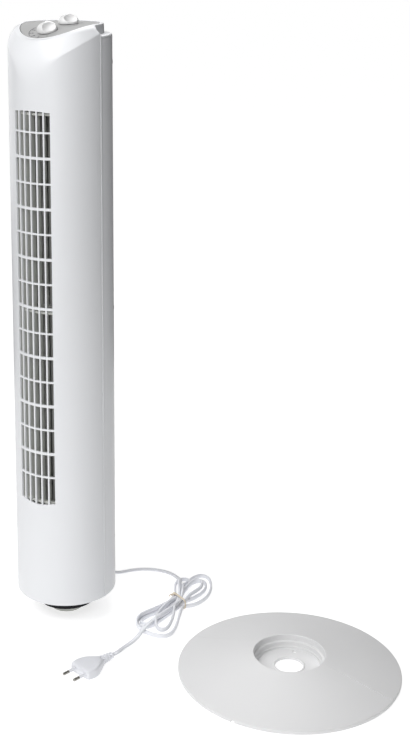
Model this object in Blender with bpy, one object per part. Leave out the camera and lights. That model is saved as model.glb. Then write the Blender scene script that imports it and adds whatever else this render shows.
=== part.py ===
"""Tower fan, standing on its foot, with its base disc and coiled cord beside it.

Metres, +Z up. The origin is on the floor, under the middle of the foot, on the
tower's axis. The air outlet faces -Y. Plan angles are in degrees from the front
(-Y), positive towards +X.
"""
import math

import bmesh
import bpy
from mathutils import Matrix, Vector

# ------------------------------------------------------------------ dimensions
GAP = 0.0003                 # air left between two pieces that touch

TOWER_R = 0.0650             # outer radius of the housing
WALL = 0.0022                # wall of the housing
TOWER_BOTTOM = 0.0310        # lower edge of the shells, above the floor
SEAM_ANGLE = 84.5            # the front shell reaches this far to each side

GRILLE_COLUMNS = 6
GRILLE_ROWS = 16
COLUMN_PITCH = 8.28          # degrees between the middles of two window columns
WINDOW_ANGLE = 6.5           # degrees across one window
BAR_TOP_Z = 0.6492           # middle of the highest cross bar
BAR_PITCH = 0.03166
BAR_THIN, BAR_THICK = 0.0021, 0.0032
GRILLE_TOP_Z, GRILLE_TOP_DROP = 0.6755, 0.0015
GRILLE_LOW_Z, GRILLE_LOW_RISE = 0.1676, 0.0028

INTAKE_COLUMNS, INTAKE_ROWS = 4, 13
INTAKE_PITCH, INTAKE_ANGLE = 23.5, 19.5      # degrees
INTAKE_LOW_Z, INTAKE_ROW_PITCH, INTAKE_SLOT = 0.1720, 0.0390, 0.0290

REAR_TOP = 0.7620            # top of the rear shell's wall
LEDGE_Z = 0.7648             # step behind the crown
LIP_Z, LIP_R = 0.7735, 0.0580
BLOCK_SETBACK = 0.0035       # the block behind the crown is this much narrower
RIM_Z, RIM_R = 0.7778, 0.0500
PANEL_R = 0.0480
PANEL_T = 0.0016
PANEL_MIDDLE_Z = 0.7735

FOOT_BOSS_R, FOOT_BOSS_H = 0.0223, 0.0118
FOOT_DISC_R, FOOT_DISC_TOP = 0.0385, 0.0200
NECK_R, NECK_TOP = 0.0145, 0.0368
SWING_LIMIT = 35.0           # degrees to each side
CRANK_Y, CRANK_THROW = 0.0200, 0.0140
PIN_R = 0.0015

BLOWER_Y = 0.0060            # the blower's axis lies a little behind the tower's
BLOWER_R, BLOWER_BORE = 0.0390, 0.0330
BLOWER_Z0, BLOWER_Z1 = 0.1540, 0.6900
BLADES = 18
SHAFT_R = 0.0040

KNOB_R, KNOB_H = 0.0127, 0.0120
SPEED_KNOB_Y, SPEED_KNOB_TILT = -0.0255, 14.0
TIMER_KNOB_Y, TIMER_KNOB_TILT = 0.0185, 0.0
KNOB_LIFT = 0.0014           # air under a knob
KNOB_SHAFT_R = 0.0030
SCOOP_TURN = -32.0           # degrees from a knob's +X to the middle of its first scoop
SCOOP_OUT, SCOOP_UP = 0.0100, 0.0108         # a scoop's middle, from the knob's foot
SCOOP_SIZE = (0.0076, 0.0110, 0.0086)        # its radii across, along and up

BASE_X, BASE_Y = 0.3258, 0.0103
BASE_R = 0.1359
RECESS_R = 0.0432
BASE_HOLE_R = 0.0172
BASE_FLOOR_Z = 0.0080

CORD_R = 0.0018              # half the thickness of the flat cord, with its coat
CORD_EXIT_ANGLE, CORD_EXIT_Z = 172.0, 0.0400
GLAND_OUT = 0.0725           # how far the cord gland reaches from the axis
HANK_Z0, HANK_Z1 = 0.0014, 0.0135

PLUG_FRONT = Vector((0.1185, -0.1385, 0.0072))
PLUG_DIR = Vector((-0.22, -0.975, 0.0)).normalized()
PLUG_LENGTH, PLUG_WIDTH, PLUG_THICK = 0.0350, 0.0353, 0.0137
RELIEF_LENGTH = 0.0200
PLUG_PIN_R, PLUG_PIN_LENGTH, PLUG_PIN_SPACING = 0.0020, 0.0190, 0.0186

# -------------------------------------------------------------- clean the file
for old in list(bpy.data.objects):
    bpy.data.objects.remove(old, do_unlink=True)


# ------------------------------------------------------------------- materials
def material(name, colour, roughness, metallic=0.0):
    mat = bpy.data.materials.new(name)
    mat.use_nodes = True
    shader = mat.node_tree.nodes["Principled BSDF"]
    shader.inputs["Base Color"].default_value = (*colour, 1.0)
    shader.inputs["Roughness"].default_value = roughness
    shader.inputs["Metallic"].default_value = metallic
    return mat


SHELL_WHITE = material("shell_white_plastic", (0.80, 0.80, 0.82), 0.30)
BASE_WHITE = material("base_white_plastic", (0.78, 0.78, 0.78), 0.45)
INNER_GREY = material("inner_grey_plastic", (0.30, 0.31, 0.32), 0.55)
BLACK = material("black_plastic", (0.02, 0.02, 0.02), 0.5)
RUBBER = material("rubber", (0.04, 0.04, 0.04), 0.8)
STEEL = material("steel", (0.62, 0.62, 0.62), 0.3, 1.0)
BRASS = material("brass_pin", (0.75, 0.62, 0.35), 0.3, 1.0)
WHITE = material("cord_white", (0.82, 0.82, 0.84), 0.45)
TIE = material("tie_beige", (0.70, 0.58, 0.42), 0.7)


# --------------------------------------------------------------------- helpers
def polar(radius, angle, z):
    a = math.radians(angle)
    return Vector((radius * math.sin(a), -radius * math.cos(a), z))


def finish(name, bm, mat, smooth=True):
    bmesh.ops.recalc_face_normals(bm, faces=bm.faces[:])
    mesh = bpy.data.meshes.new(name)
    bm.to_mesh(mesh)
    bm.free()
    if smooth:
        mesh.shade_smooth()
        mesh.set_sharp_from_angle(angle=math.radians(35))
    obj = bpy.data.objects.new(name, mesh)
    obj.data.materials.append(mat)
    bpy.context.scene.collection.objects.link(obj)
    return obj


def turned(name, profile, mat, at=(0.0, 0.0), segments=40, start=0.0, sweep=360.0):
    """Turn a closed (radius, z) profile about Z. Radius 0 makes a pole."""
    bm = bmesh.new()
    full = abs(sweep - 360.0) < 1e-6
    count = segments if full else segments + 1
    poles = {}
    rings = []
    for i in range(count):
        a = start + sweep * i / segments
        ring = []
        for k, (radius, z) in enumerate(profile):
            if radius == 0.0:
                if k not in poles:
                    poles[k] = bm.verts.new((at[0], at[1], z))
                ring.append(poles[k])
            else:
                p = polar(radius, a, z)
                ring.append(bm.verts.new((p.x + at[0], p.y + at[1], z)))
        rings.append(ring)
    n = len(profile)
    for i in range(segments):
        left, right = rings[i], rings[(i + 1) % count]
        for k in range(n):
            j = (k + 1) % n
            corners = []
            for v in (left[k], left[j], right[j], right[k]):
                if v not in corners:
                    corners.append(v)
            if len(corners) > 2:
                bm.faces.new(corners)
    if not full:
        bm.faces.new(rings[0])
        bm.faces.new(rings[-1][::-1])
    return finish(name, bm, mat)


def rod(name, radius, z0, z1, mat, at=(0.0, 0.0), segments=24):
    return turned(name, [(0.0, z0), (radius, z0), (radius, z1), (0.0, z1)], mat, at, segments)


def box(name, low, high, mat):
    bm = bmesh.new()
    size = Vector(high) - Vector(low)
    middle = (Vector(high) + Vector(low)) / 2
    bmesh.ops.create_cube(bm, size=1.0, matrix=Matrix.Translation(middle)
                          @ Matrix.Diagonal((*size, 1.0)))
    return finish(name, bm, mat, smooth=False)


def prism(name, outline, z0, z1, mat, smooth=False):
    """Extrude a plan outline, a list of (x, y), from z0 to z1."""
    bm = bmesh.new()
    low = [bm.verts.new((x, y, z0)) for x, y in outline]
    high = [bm.verts.new((x, y, z1)) for x, y in outline]
    n = len(outline)
    bm.faces.new(low)
    bm.faces.new(high[::-1])
    for i in range(n):
        j = (i + 1) % n
        bm.faces.new((low[i], high[i], high[j], low[j]))
    return finish(name, bm, mat, smooth)


def as_tool(obj):
    obj.hide_render = True
    obj.display_type = "WIRE"
    return obj


def boolean(obj, other, operation="DIFFERENCE"):
    as_tool(other)
    mod = obj.modifiers.new(operation.lower(), "BOOLEAN")
    mod.operation = operation
    mod.object = other
    return obj


def place(obj, matrix):
    """Move the mesh itself, so the object's origin stays where it is."""
    obj.data.transform(matrix)
    return obj


def outward(angle, z, radius=0.0):
    """Matrix that turns a part built along +Z to point outwards at a plan angle."""
    direction = polar(1.0, angle, 0.0)
    return (Matrix.Translation(polar(radius, angle, z))
            @ direction.to_track_quat("Z", "X").to_matrix().to_4x4())


def set_origin(obj, point):
    obj.data.transform(Matrix.Translation(-Vector(point)))
    obj.location = point
    return obj


# ---------------------------------------------------------- curved, pierced wall
def pierced_wall(name, angles, row_count, height, is_open, mat):
    """Part of the housing's wall. height(row, angle) is the height of a row line;
    is_open(column, row) says which cells are windows."""
    bm = bmesh.new()
    outer, inner = [], []
    for a in angles:
        outer.append([bm.verts.new(polar(TOWER_R, a, height(j, a))) for j in range(row_count + 1)])
        inner.append([bm.verts.new(polar(TOWER_R - WALL, a, height(j, a)))
                      for j in range(row_count + 1)])
    columns = len(angles) - 1

    def solid(i, j):
        return 0 <= i < columns and 0 <= j < row_count and not is_open(i, j)

    for i in range(columns):
        for j in range(row_count):
            if not solid(i, j):
                continue
            corners = ((i, j), (i + 1, j), (i + 1, j + 1), (i, j + 1))
            bm.faces.new([outer[p][q] for p, q in corners])
            bm.faces.new([inner[p][q] for p, q in reversed(corners)])
            for (p, q), (r, s), beside in ((corners[0], corners[1], (i, j - 1)),
                                           (corners[1], corners[2], (i + 1, j)),
                                           (corners[2], corners[3], (i, j + 1)),
                                           (corners[3], corners[0], (i - 1, j))):
                if not solid(*beside):
                    bm.faces.new((outer[r][s], outer[p][q], inner[p][q], inner[r][s]))
    return finish(name, bm, mat)


def backness(angle):
    """0 on the front half, 1 behind, with a short ramp at the seam."""
    a = abs((angle + 180.0) % 360.0 - 180.0)
    t = min(1.0, max(0.0, (a - 70.0) / 22.0))
    return t * t * (3.0 - 2.0 * t)


def mix(a, b, t):
    return a + (b - a) * t


def crease_z(angle):
    """Height where the crown's chamfer meets the round wall: low at the front."""
    a = min(abs(angle), SEAM_ANGLE)
    a = math.hypot(a, 8.0) - 8.0 * (1.0 - a / SEAM_ANGLE)
    return 0.7195 + 0.00080 * a - 0.0000027 * a * a


def wall_top(angle):
    """Height where the crown sits on the shells."""
    signed = (angle + 180.0) % 360.0 - 180.0
    return mix(crease_z(signed), REAR_TOP, backness(angle))


# ----------------------------------------------------------------- front shell
def grille_angles():
    edges = []
    for c in range(GRILLE_COLUMNS):
        middle = (c - (GRILLE_COLUMNS - 1) / 2) * COLUMN_PITCH
        edges += [middle - WINDOW_ANGLE / 2, middle + WINDOW_ANGLE / 2]
    return edges


def grille_heights(angle):
    """Row lines of the grille from below upwards, at one plan angle."""
    side = min(1.0, abs(angle) / (COLUMN_PITCH * 2.5)) ** 2
    lines = [GRILLE_LOW_Z + GRILLE_LOW_RISE * side]
    for bar in reversed(range(GRILLE_ROWS - 1)):
        half = (BAR_THIN if bar % 2 == 0 else BAR_THICK) / 2
        middle = BAR_TOP_Z - BAR_PITCH * bar
        lines += [middle - half, middle + half]
    lines.append(GRILLE_TOP_Z - GRILLE_TOP_DROP * side)
    return lines


SIDE_ANGLES = [34.0, 44.0, 54.0, 64.0, 74.5, SEAM_ANGLE]
front_angles = [-a for a in reversed(SIDE_ANGLES)] + grille_angles() + SIDE_ANGLES
first_window = len(SIDE_ANGLES)
last_window = first_window + 2 * GRILLE_COLUMNS - 2


def front_height(row, angle):
    lines = [TOWER_BOTTOM] + grille_heights(angle) + [wall_top(angle) - GAP]
    return lines[row]


def front_open(column, row):
    window_column = first_window <= column <= last_window and (column - first_window) % 2 == 0
    window_row = 1 <= row <= 2 * GRILLE_ROWS - 1 and row % 2 == 1
    return window_column and window_row


front_shell = pierced_wall("front_shell", front_angles, 2 * GRILLE_ROWS + 1,
                           front_height, front_open, SHELL_WHITE)

# ------------------------------------------------------------------ rear shell
REAR_START = SEAM_ANGLE + math.degrees(GAP / TOWER_R)
intake_edges = []
for c in range(INTAKE_COLUMNS):
    middle = 180.0 + (c - (INTAKE_COLUMNS - 1) / 2) * INTAKE_PITCH
    intake_edges += [middle - INTAKE_ANGLE / 2, middle + INTAKE_ANGLE / 2]
# Each slot's span is halved, so that the wall stays round.
rear_angles = [REAR_START, 95.0, 105.0, 115.0, 124.0]
slot_columns = set()
for c in range(INTAKE_COLUMNS):
    low, high = intake_edges[2 * c], intake_edges[2 * c + 1]
    slot_columns |= {len(rear_angles), len(rear_angles) + 1}
    rear_angles += [low, (low + high) / 2, high]
rear_angles += [236.0, 245.0, 255.0, 265.0, 360.0 - REAR_START]


def rear_height(row, angle):
    if row == 0:
        return TOWER_BOTTOM
    if row == 2 * INTAKE_ROWS + 1:
        return wall_top(angle) - GAP
    slot, upper = divmod(row - 1, 2)
    return INTAKE_LOW_Z + slot * INTAKE_ROW_PITCH + upper * INTAKE_SLOT


def rear_open(column, row):
    return column in slot_columns and 1 <= row <= 2 * INTAKE_ROWS - 1 and row % 2 == 1


rear_shell = pierced_wall("rear_shell", rear_angles, 2 * INTAKE_ROWS + 1,
                          rear_height, rear_open, SHELL_WHITE)

SCREW_ANGLE = 119.5
SCREW_HEIGHTS = (0.100, 0.4135, 0.730)
screw_places = [(side * SCREW_ANGLE, z) for side in (1, -1) for z in SCREW_HEIGHTS]
for number, (angle, z) in enumerate(screw_places, 1):
    cut = turned(f"screw_hole_{number}",
                 [(0.0, -0.006), (0.0022, -0.006), (0.0022, 0.0010), (0.0042, 0.0010),
                  (0.0042, 0.004), (0.0, 0.004)], BLACK, segments=16)
    boolean(rear_shell, place(cut, outward(angle, z, TOWER_R - WALL)))
    screw = turned(f"shell_screw_{number}",
                   [(0.0, -0.0085), (0.0016, -0.0070), (0.0016, 0.0013), (0.0036, 0.0013),
                    (0.0036, 0.0019), (0.0026, 0.0024), (0.0, 0.0024)], STEEL, segments=16)
    place(screw, outward(angle, z, TOWER_R - WALL))

cord_hole = turned("cord_hole", [(0.0, -0.006), (0.0046, -0.006), (0.0046, 0.006), (0.0, 0.006)],
                   BLACK, segments=16)
boolean(rear_shell, place(cord_hole, outward(CORD_EXIT_ANGLE, CORD_EXIT_Z, TOWER_R - WALL)))


# ----------------------------------------------------------------------- crown
def frontness(angle):
    return max(0.0, math.cos(math.radians(angle)))


def lip(angle):
    radius = LIP_R - 0.0055 * frontness(angle) ** 2 - BLOCK_SETBACK * backness(angle)
    return radius, LIP_Z - 0.0175 * frontness(angle) ** 3


def rim(angle):
    return RIM_R, RIM_Z - 0.0150 * frontness(angle) ** 2


def crown_section(angle):
    """Outer points of the crown from the wall inwards, as (radius, z)."""
    back = backness(angle)
    low = wall_top(angle)
    lip_r, lip_z = lip(angle)
    rim_r, rim_z = rim(angle)
    facet_r, facet_z = mix(TOWER_R, lip_r, 0.55), mix(low, lip_z, 0.60)
    shoulder = (mix(facet_r, TOWER_R - 0.0030, back), mix(facet_z, LEDGE_Z, back))
    foot = (mix(mix(facet_r, lip_r, 0.6), lip_r + 0.0008, back),
            mix(mix(facet_z, lip_z, 0.6), LEDGE_Z + 0.0004, back))
    return [(TOWER_R, low), shoulder, foot, (lip_r, mix(lip_z, RIM_Z - 0.0012, back)),
            (rim_r, rim_z), (rim_r - 0.0008, rim_z - 0.0026)]


def crown_mesh():
    bm = bmesh.new()
    # The crown's corners stand over the shells' corners, so the gap stays even.
    angles = front_angles + [a for i, a in enumerate(rear_angles) if i % 2 == 0 or i < 5]
    steps = len(angles)
    outer, inner = [], []
    for a in angles:
        section = crown_section(a)
        low = section[0][1]
        outer.append([bm.verts.new(polar(r, a, z)) for r, z in section])
        # The inner face follows the outer one, one wall's thickness below it, and
        # runs straight from the lip to the foot of the rim.
        under = [(TOWER_R - WALL, low)]
        for r, z in section[1:4]:
            under.append((r - WALL * 0.85, max(z - WALL, low + 0.0001)))
        last = (section[-1][0], section[-1][1] - 0.0016)
        under.append((mix(under[-1][0], last[0], 0.5), mix(under[-1][1], last[1], 0.5)))
        under.append(last)
        inner.append([bm.verts.new(polar(r, a, z)) for r, z in under])
    for i in range(steps):
        j = (i + 1) % steps
        for k in range(5):
            bm.faces.new((outer[i][k], outer[j][k], outer[j][k + 1], outer[i][k + 1]))
            bm.faces.new((inner[i][k + 1], inner[j][k + 1], inner[j][k], inner[i][k]))
        bm.faces.new((outer[i][0], inner[i][0], inner[j][0], outer[j][0]))
        bm.faces.new((outer[i][5], outer[j][5], inner[j][5], inner[i][5]))
    return bm


crown = finish("crown", crown_mesh(), SHELL_WHITE)


# --------------------------------------------------------------- control panel
def panel_z(radius, angle):
    """Height of the panel: a shallow dish behind, a steady fall in front."""
    edge = rim(angle)[1] - 0.0010
    t = (radius / PANEL_R) ** (2.0 - 0.9 * frontness(angle))
    return mix(PANEL_MIDDLE_Z, edge, t)


def panel_mesh():
    bm = bmesh.new()
    steps = 36
    radii = (0.018, 0.036, PANEL_R)
    faces = []
    for lift in (0.0, -PANEL_T):
        centre = bm.verts.new((0.0, 0.0, PANEL_MIDDLE_Z + lift))
        rings = [[bm.verts.new(polar(r, 360.0 * i / steps, panel_z(r, 360.0 * i / steps) + lift))
                  for i in range(steps)] for r in radii]
        for i in range(steps):
            j = (i + 1) % steps
            bm.faces.new((centre, rings[0][i], rings[0][j]))
            for k in range(len(radii) - 1):
                bm.faces.new((rings[k][i], rings[k + 1][i], rings[k + 1][j], rings[k][j]))
        faces.append(rings[-1])
    for i in range(steps):
        j = (i + 1) % steps
        bm.faces.new((faces[0][i], faces[0][j], faces[1][j], faces[1][i]))
    return bm


control_panel = finish("control_panel", panel_mesh(), SHELL_WHITE)


# ----------------------------------------------------------------------- knobs
def knob_frame(y, tilt):
    """Matrix at a knob's foot: +Z is the knob's axis, tipped to the front."""
    a = 0.0 if y < 0 else 180.0
    z = panel_z(abs(y), a) + KNOB_LIFT
    return Matrix.Translation((0.0, y, z)) @ Matrix.Rotation(math.radians(tilt), 4, "X")


def make_knob(name, y, tilt):
    frame = knob_frame(y, tilt)
    profile = [(0.0, KNOB_H)]
    arcs = 5
    for i in range(1, arcs + 1):
        a = math.radians(90.0 * i / arcs)
        profile.append((KNOB_R * math.sin(a), 0.0030 + (KNOB_H - 0.0030) * math.cos(a)))
    profile += [(KNOB_R, 0.0), (KNOB_SHAFT_R + GAP, 0.0), (KNOB_SHAFT_R + GAP, 0.0060),
                (0.0, 0.0060)]
    knob = turned(name, profile[::-1], SHELL_WHITE, segments=24)
    for side in (1, -1):
        scoop = finish(f"{name}_scoop_{side + 1}", bmesh.new(), SHELL_WHITE)
        bm = bmesh.new()
        bmesh.ops.create_icosphere(bm, subdivisions=2, radius=1.0)
        bm.to_mesh(scoop.data)
        bm.free()
        place(scoop, Matrix.Rotation(math.radians(SCOOP_TURN), 4, "Z")
              @ Matrix.Translation((side * SCOOP_OUT, 0.0, SCOOP_UP))
              @ Matrix.Diagonal((*SCOOP_SIZE, 1.0)))
        boolean(knob, scoop)
        scoop.matrix_world = frame
    knob.matrix_world = frame

    shaft = rod(f"{name}_shaft", KNOB_SHAFT_R, -0.0115, 0.0057, STEEL, segments=16)
    shaft.matrix_world = frame

    hole = rod(f"{name}_hole", KNOB_SHAFT_R + 0.0010, -0.010, 0.010, BLACK, segments=16)
    hole.matrix_world = frame
    boolean(control_panel, hole)
    return frame


speed_frame = make_knob("speed_knob", SPEED_KNOB_Y, SPEED_KNOB_TILT)
timer_frame = make_knob("timer_knob", TIMER_KNOB_Y, TIMER_KNOB_TILT)

speed_switch = box("speed_switch", (-0.0110, -0.0110, -0.0270), (0.0110, 0.0110, -0.0118), BLACK)
speed_switch.matrix_world = speed_frame
timer_unit = turned("timer_unit", [(0.0, -0.0380), (0.0170, -0.0380), (0.0170, -0.0150),
                                   (0.0080, -0.0118), (0.0, -0.0118)], INNER_GREY, segments=32)
timer_unit.matrix_world = timer_frame

# ------------------------------------------------------------- lower structure
bottom_plate = turned("bottom_plate", [(0.0155, 0.0315), (0.0625, 0.0315), (0.0625, 0.0340),
                                       (0.0155, 0.0340)], SHELL_WHITE, segments=40)
thrust_washer = turned("thrust_washer", [(0.0155, 0.0343), (0.0220, 0.0343), (0.0220, 0.0366),
                                         (0.0155, 0.0366)], INNER_GREY, segments=32)

swing_deck = turned("swing_deck", [(0.0, 0.0690), (0.0610, 0.0690), (0.0610, 0.0710),
                                   (0.0, 0.0710)], INNER_GREY, segments=36)
for number, angle in enumerate((0.0, 110.0, 250.0), 1):
    spot = polar(0.0530, angle, 0.0)
    post = rod(f"deck_post_{number}", 0.0040, 0.0343, 0.0700, INNER_GREY, (spot.x, spot.y), 16)
    boolean(swing_deck, post, "UNION")

swing_motor = turned("swing_motor", [(0.0, 0.0503), (0.0210, 0.0503), (0.0210, 0.0687),
                                     (0.0, 0.0687)], STEEL, (0.0, CRANK_Y), 32)

crank = turned("crank", [(0.0, 0.0440), (0.0168, 0.0440), (0.0168, 0.0468), (0.0030, 0.0468),
                         (0.0030, 0.0500), (0.0, 0.0500)], WHITE, (0.0, CRANK_Y), 32)
boolean(crank, rod("crank_pin", PIN_R, 0.0378, 0.0450, WHITE, (0.0, CRANK_Y + CRANK_THROW), 16),
        "UNION")
set_origin(crank, (0.0, CRANK_Y, 0.0))

# ------------------------------------------------------------------------ foot
foot_boss = turned("foot_boss", [(0.0, 0.0), (FOOT_BOSS_R - 0.0012, 0.0), (FOOT_BOSS_R, 0.0012),
                                 (FOOT_BOSS_R, FOOT_BOSS_H), (0.0, FOOT_BOSS_H)], INNER_GREY)
low = FOOT_BOSS_H + GAP
foot_disc = turned("foot_disc", [(0.0, low), (FOOT_DISC_R - 0.0010, low),
                                 (FOOT_DISC_R, low + 0.0010), (FOOT_DISC_R, FOOT_DISC_TOP - 0.001),
                                 (FOOT_DISC_R - 0.0010, FOOT_DISC_TOP), (NECK_R, FOOT_DISC_TOP),
                                 (NECK_R, NECK_TOP), (0.0, NECK_TOP)], BLACK, segments=36)


def drive_plate_outline():
    """Round hub with an arm that reaches back over the crank's pin."""
    hub, arm_half, reach = 0.0190, 0.0065, 0.0405
    turn = math.degrees(math.asin(arm_half / hub))
    outline = []
    steps = 20
    for i in range(steps + 1):
        a = 180.0 + turn + (360.0 - 2 * turn) * i / steps
        p = polar(hub, a, 0.0)
        outline.append((p.x, p.y))
    outline += [(arm_half, reach - 0.003), (arm_half - 0.003, reach),
                (-arm_half + 0.003, reach), (-arm_half, reach - 0.003)]
    return outline


def slot_outline(y0, y1, half):
    points = []
    for centre, first in ((y1, 0.0), (y0, 180.0)):
        for i in range(7):
            a = math.radians(first + 180.0 * i / 6)
            points.append((half * math.cos(a), centre + half * math.sin(a)))
    return points


drive_plate = prism("drive_plate", drive_plate_outline(), NECK_TOP + GAP, 0.0400, WHITE)
pin_near = math.hypot(CRANK_Y, CRANK_THROW)
pin_far = CRANK_Y + CRANK_THROW
boolean(drive_plate, prism("drive_slot", slot_outline(pin_near - 0.0005, pin_far, 0.0026),
                           0.030, 0.050, WHITE))
for number, side in enumerate((1, -1), 1):
    turned(f"drive_screw_{number}", [(0.0, 0.0403), (0.0030, 0.0403), (0.0030, 0.0416),
                                     (0.0022, 0.0422), (0.0, 0.0422)], STEEL,
           (side * 0.0090, -0.0060), 16)

# ------------------------------------------------------------------ main motor
motor_housing = turned("motor_housing", [(0.0, 0.0780), (0.0330, 0.0780), (0.0360, 0.0810),
                                         (0.0360, 0.1180), (0.0330, 0.1210), (0.0120, 0.1210),
                                         (0.0120, 0.1250), (SHAFT_R + GAP, 0.1250),
                                         (SHAFT_R + GAP, 0.0850), (0.0, 0.0850)],
                       STEEL, (0.0, BLOWER_Y), 28)
motor_shaft = rod("motor_shaft", SHAFT_R, 0.0853, 0.1600, STEEL, (0.0, BLOWER_Y), 20)
motor_deck = turned("motor_deck", [(0.0126, 0.1213), (0.0565, 0.1213), (0.0565, 0.1237),
                                   (0.0126, 0.1237)], INNER_GREY, (0.0, BLOWER_Y), 36)
hub_coupling = turned("hub_coupling", [(SHAFT_R + GAP, 0.1400), (0.0100, 0.1400),
                                       (0.0100, 0.1537), (SHAFT_R + GAP, 0.1537)],
                      STEEL, (0.0, BLOWER_Y), 24)
capacitor = rod("run_capacitor", 0.0085, 0.0713, 0.1080, BLACK, (0.0, -0.0460), 20)
terminal_block = box("terminal_block", (-0.0540, -0.0080, 0.0713), (-0.0390, 0.0140, 0.0830), WHITE)


# ---------------------------------------------------------------- blower wheel
def blade_outline(turn):
    """Curved blade in plan, a thin crescent between the bore and the rim."""
    count, thick = 3, 0.0011
    outer_side, inner_side = [], []
    for i in range(count + 1):
        t = i / count
        radius = mix(BLOWER_BORE + 0.0004, BLOWER_R - 0.0004, t)
        swing = turn + 9.0 * math.sin(math.pi * 0.5 * t)
        half = math.degrees(thick / 2 / radius)
        outer_side.append(polar(radius, swing + half, 0.0))
        inner_side.append(polar(radius, swing - half, 0.0))
    return [(p.x, p.y + BLOWER_Y) for p in outer_side + inner_side[::-1]]


def wheel_disc(z0, z1, bore):
    return turned("wheel_disc", [(bore, z0), (BLOWER_R, z0), (BLOWER_R, z1), (bore, z1)],
                  INNER_GREY, (0.0, BLOWER_Y), 36)


def make_wheel():
    """Discs and blades grow from one another, so the wheel is one body."""
    thick = 0.0024
    levels = [BLOWER_Z0 + (BLOWER_Z1 - BLOWER_Z0 - thick) * i / 2 for i in range(3)]
    wheel = wheel_disc(levels[0], levels[0] + thick, SHAFT_R + GAP)
    wheel.name = wheel.data.name = "blower_wheel"
    for i, z in enumerate(levels[1:], 1):
        bore = SHAFT_R + GAP if i == 2 else BLOWER_BORE - 0.0015
        boolean(wheel, wheel_disc(z, z + thick, bore), "UNION")
    blades = bmesh.new()
    for b in range(BLADES):
        outline = blade_outline(360.0 * b / BLADES)
        n = len(outline)
        z0, z1 = levels[0] + thick / 2, levels[2] + thick / 2
        lows = [blades.verts.new((x, y, z0)) for x, y in outline]
        highs = [blades.verts.new((x, y, z1)) for x, y in outline]
        blades.faces.new(lows)
        blades.faces.new(highs[::-1])
        for i in range(n):
            j = (i + 1) % n
            blades.faces.new((lows[i], highs[i], highs[j], lows[j]))
    boolean(wheel, finish("wheel_blades", blades, INNER_GREY), "UNION")
    return wheel


blower_wheel = make_wheel()
set_origin(blower_wheel, (0.0, BLOWER_Y, 0.0))
top_stub = turned("top_stub", [(0.0, 0.6840), (SHAFT_R, 0.6840), (SHAFT_R, 0.6903),
                               (0.0075, 0.6903), (0.0075, 0.6960), (0.0030, 0.6960),
                               (0.0030, 0.7100), (0.0, 0.7100)], STEEL, (0.0, BLOWER_Y), 20)
top_bearing = turned("top_bearing", [(0.0033, 0.6985), (0.0102, 0.6985), (0.0102, 0.7035),
                                     (0.0125, 0.7035), (0.0125, 0.7065), (0.0033, 0.7065)],
                     RUBBER, (0.0, BLOWER_Y), 24)
upper_deck = turned("upper_deck", [(0.0106, 0.7002), (0.0565, 0.7002), (0.0565, 0.7031),
                                   (0.0106, 0.7031)], INNER_GREY, (0.0, BLOWER_Y), 36)


# ------------------------------------------------------ air guide and louvres
def ribbon(points, thick):
    """Plan outline of a sheet that follows a line of points."""
    left, right = [], []
    for i, p in enumerate(points):
        ahead = points[min(i + 1, len(points) - 1)] - points[max(i - 1, 0)]
        side = Vector((-ahead.y, ahead.x)).normalized() * (thick / 2)
        left.append(p + side)
        right.append(p - side)
    return [(p.x, p.y) for p in left + right[::-1]]


GUIDE_Z0, GUIDE_Z1 = 0.1240, 0.6999
volute = []
for i in range(15):
    t = i / 14
    radius = mix(0.0420, 0.0590, t ** 1.2)
    p = polar(radius, mix(-165.0, -38.0, t), 0.0)
    volute.append(Vector((p.x, p.y + BLOWER_Y)))
volute.append(Vector((-0.0285, -0.0490)))
air_guide = prism("air_guide", ribbon(volute, 0.0015), GUIDE_Z0, GUIDE_Z1, INNER_GREY, True)

tongue_line = [Vector((0.0288, -0.0500)), Vector((0.0305, -0.0400)), Vector((0.0322, -0.0265)),
               Vector((0.0345, -0.0225)), Vector((0.0400, -0.0215)), Vector((0.0480, -0.0245)),
               Vector((0.0550, -0.0255))]
air_tongue = prism("air_tongue", ribbon(tongue_line, 0.0015), GUIDE_Z0, GUIDE_Z1, INNER_GREY, True)


def make_louvres():
    """Deep upright vanes behind the slats, tied by three arcs."""
    depth_out, depth_in = TOWER_R - WALL - 0.0004, 0.0558
    span = COLUMN_PITCH * 3
    tie = [(depth_in + 0.001, 0.0), (depth_out - 0.001, 0.0), (depth_out - 0.001, 0.003),
           (depth_in + 0.001, 0.003)]
    comb = None
    for i, z in enumerate((0.1690, 0.4205, 0.6700)):
        arc = turned("louvre_tie", [(r, h + z) for r, h in tie], INNER_GREY, segments=12,
                     start=-span - 0.5, sweep=2 * span + 1.0)
        if comb is None:
            comb = arc
            comb.name = comb.data.name = "louvre_comb"
        else:
            boolean(comb, arc, "UNION")
    vanes = bmesh.new()
    for k in range(-3, 4):
        angle = k * COLUMN_PITCH
        half = math.degrees(0.0006 / depth_out)
        corners = [polar(depth_in, angle - half, 0), polar(depth_out, angle - half, 0),
                   polar(depth_out, angle + half, 0), polar(depth_in, angle + half, 0)]
        lows = [vanes.verts.new((c.x, c.y, 0.1680)) for c in corners]
        highs = [vanes.verts.new((c.x, c.y, 0.6745)) for c in corners]
        vanes.faces.new(lows)
        vanes.faces.new(highs[::-1])
        for i in range(4):
            j = (i + 1) % 4
            vanes.faces.new((lows[i], highs[i], highs[j], lows[j]))
    boolean(comb, finish("louvre_vanes", vanes, INNER_GREY), "UNION")
    return comb


louvre_comb = make_louvres()


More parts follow.
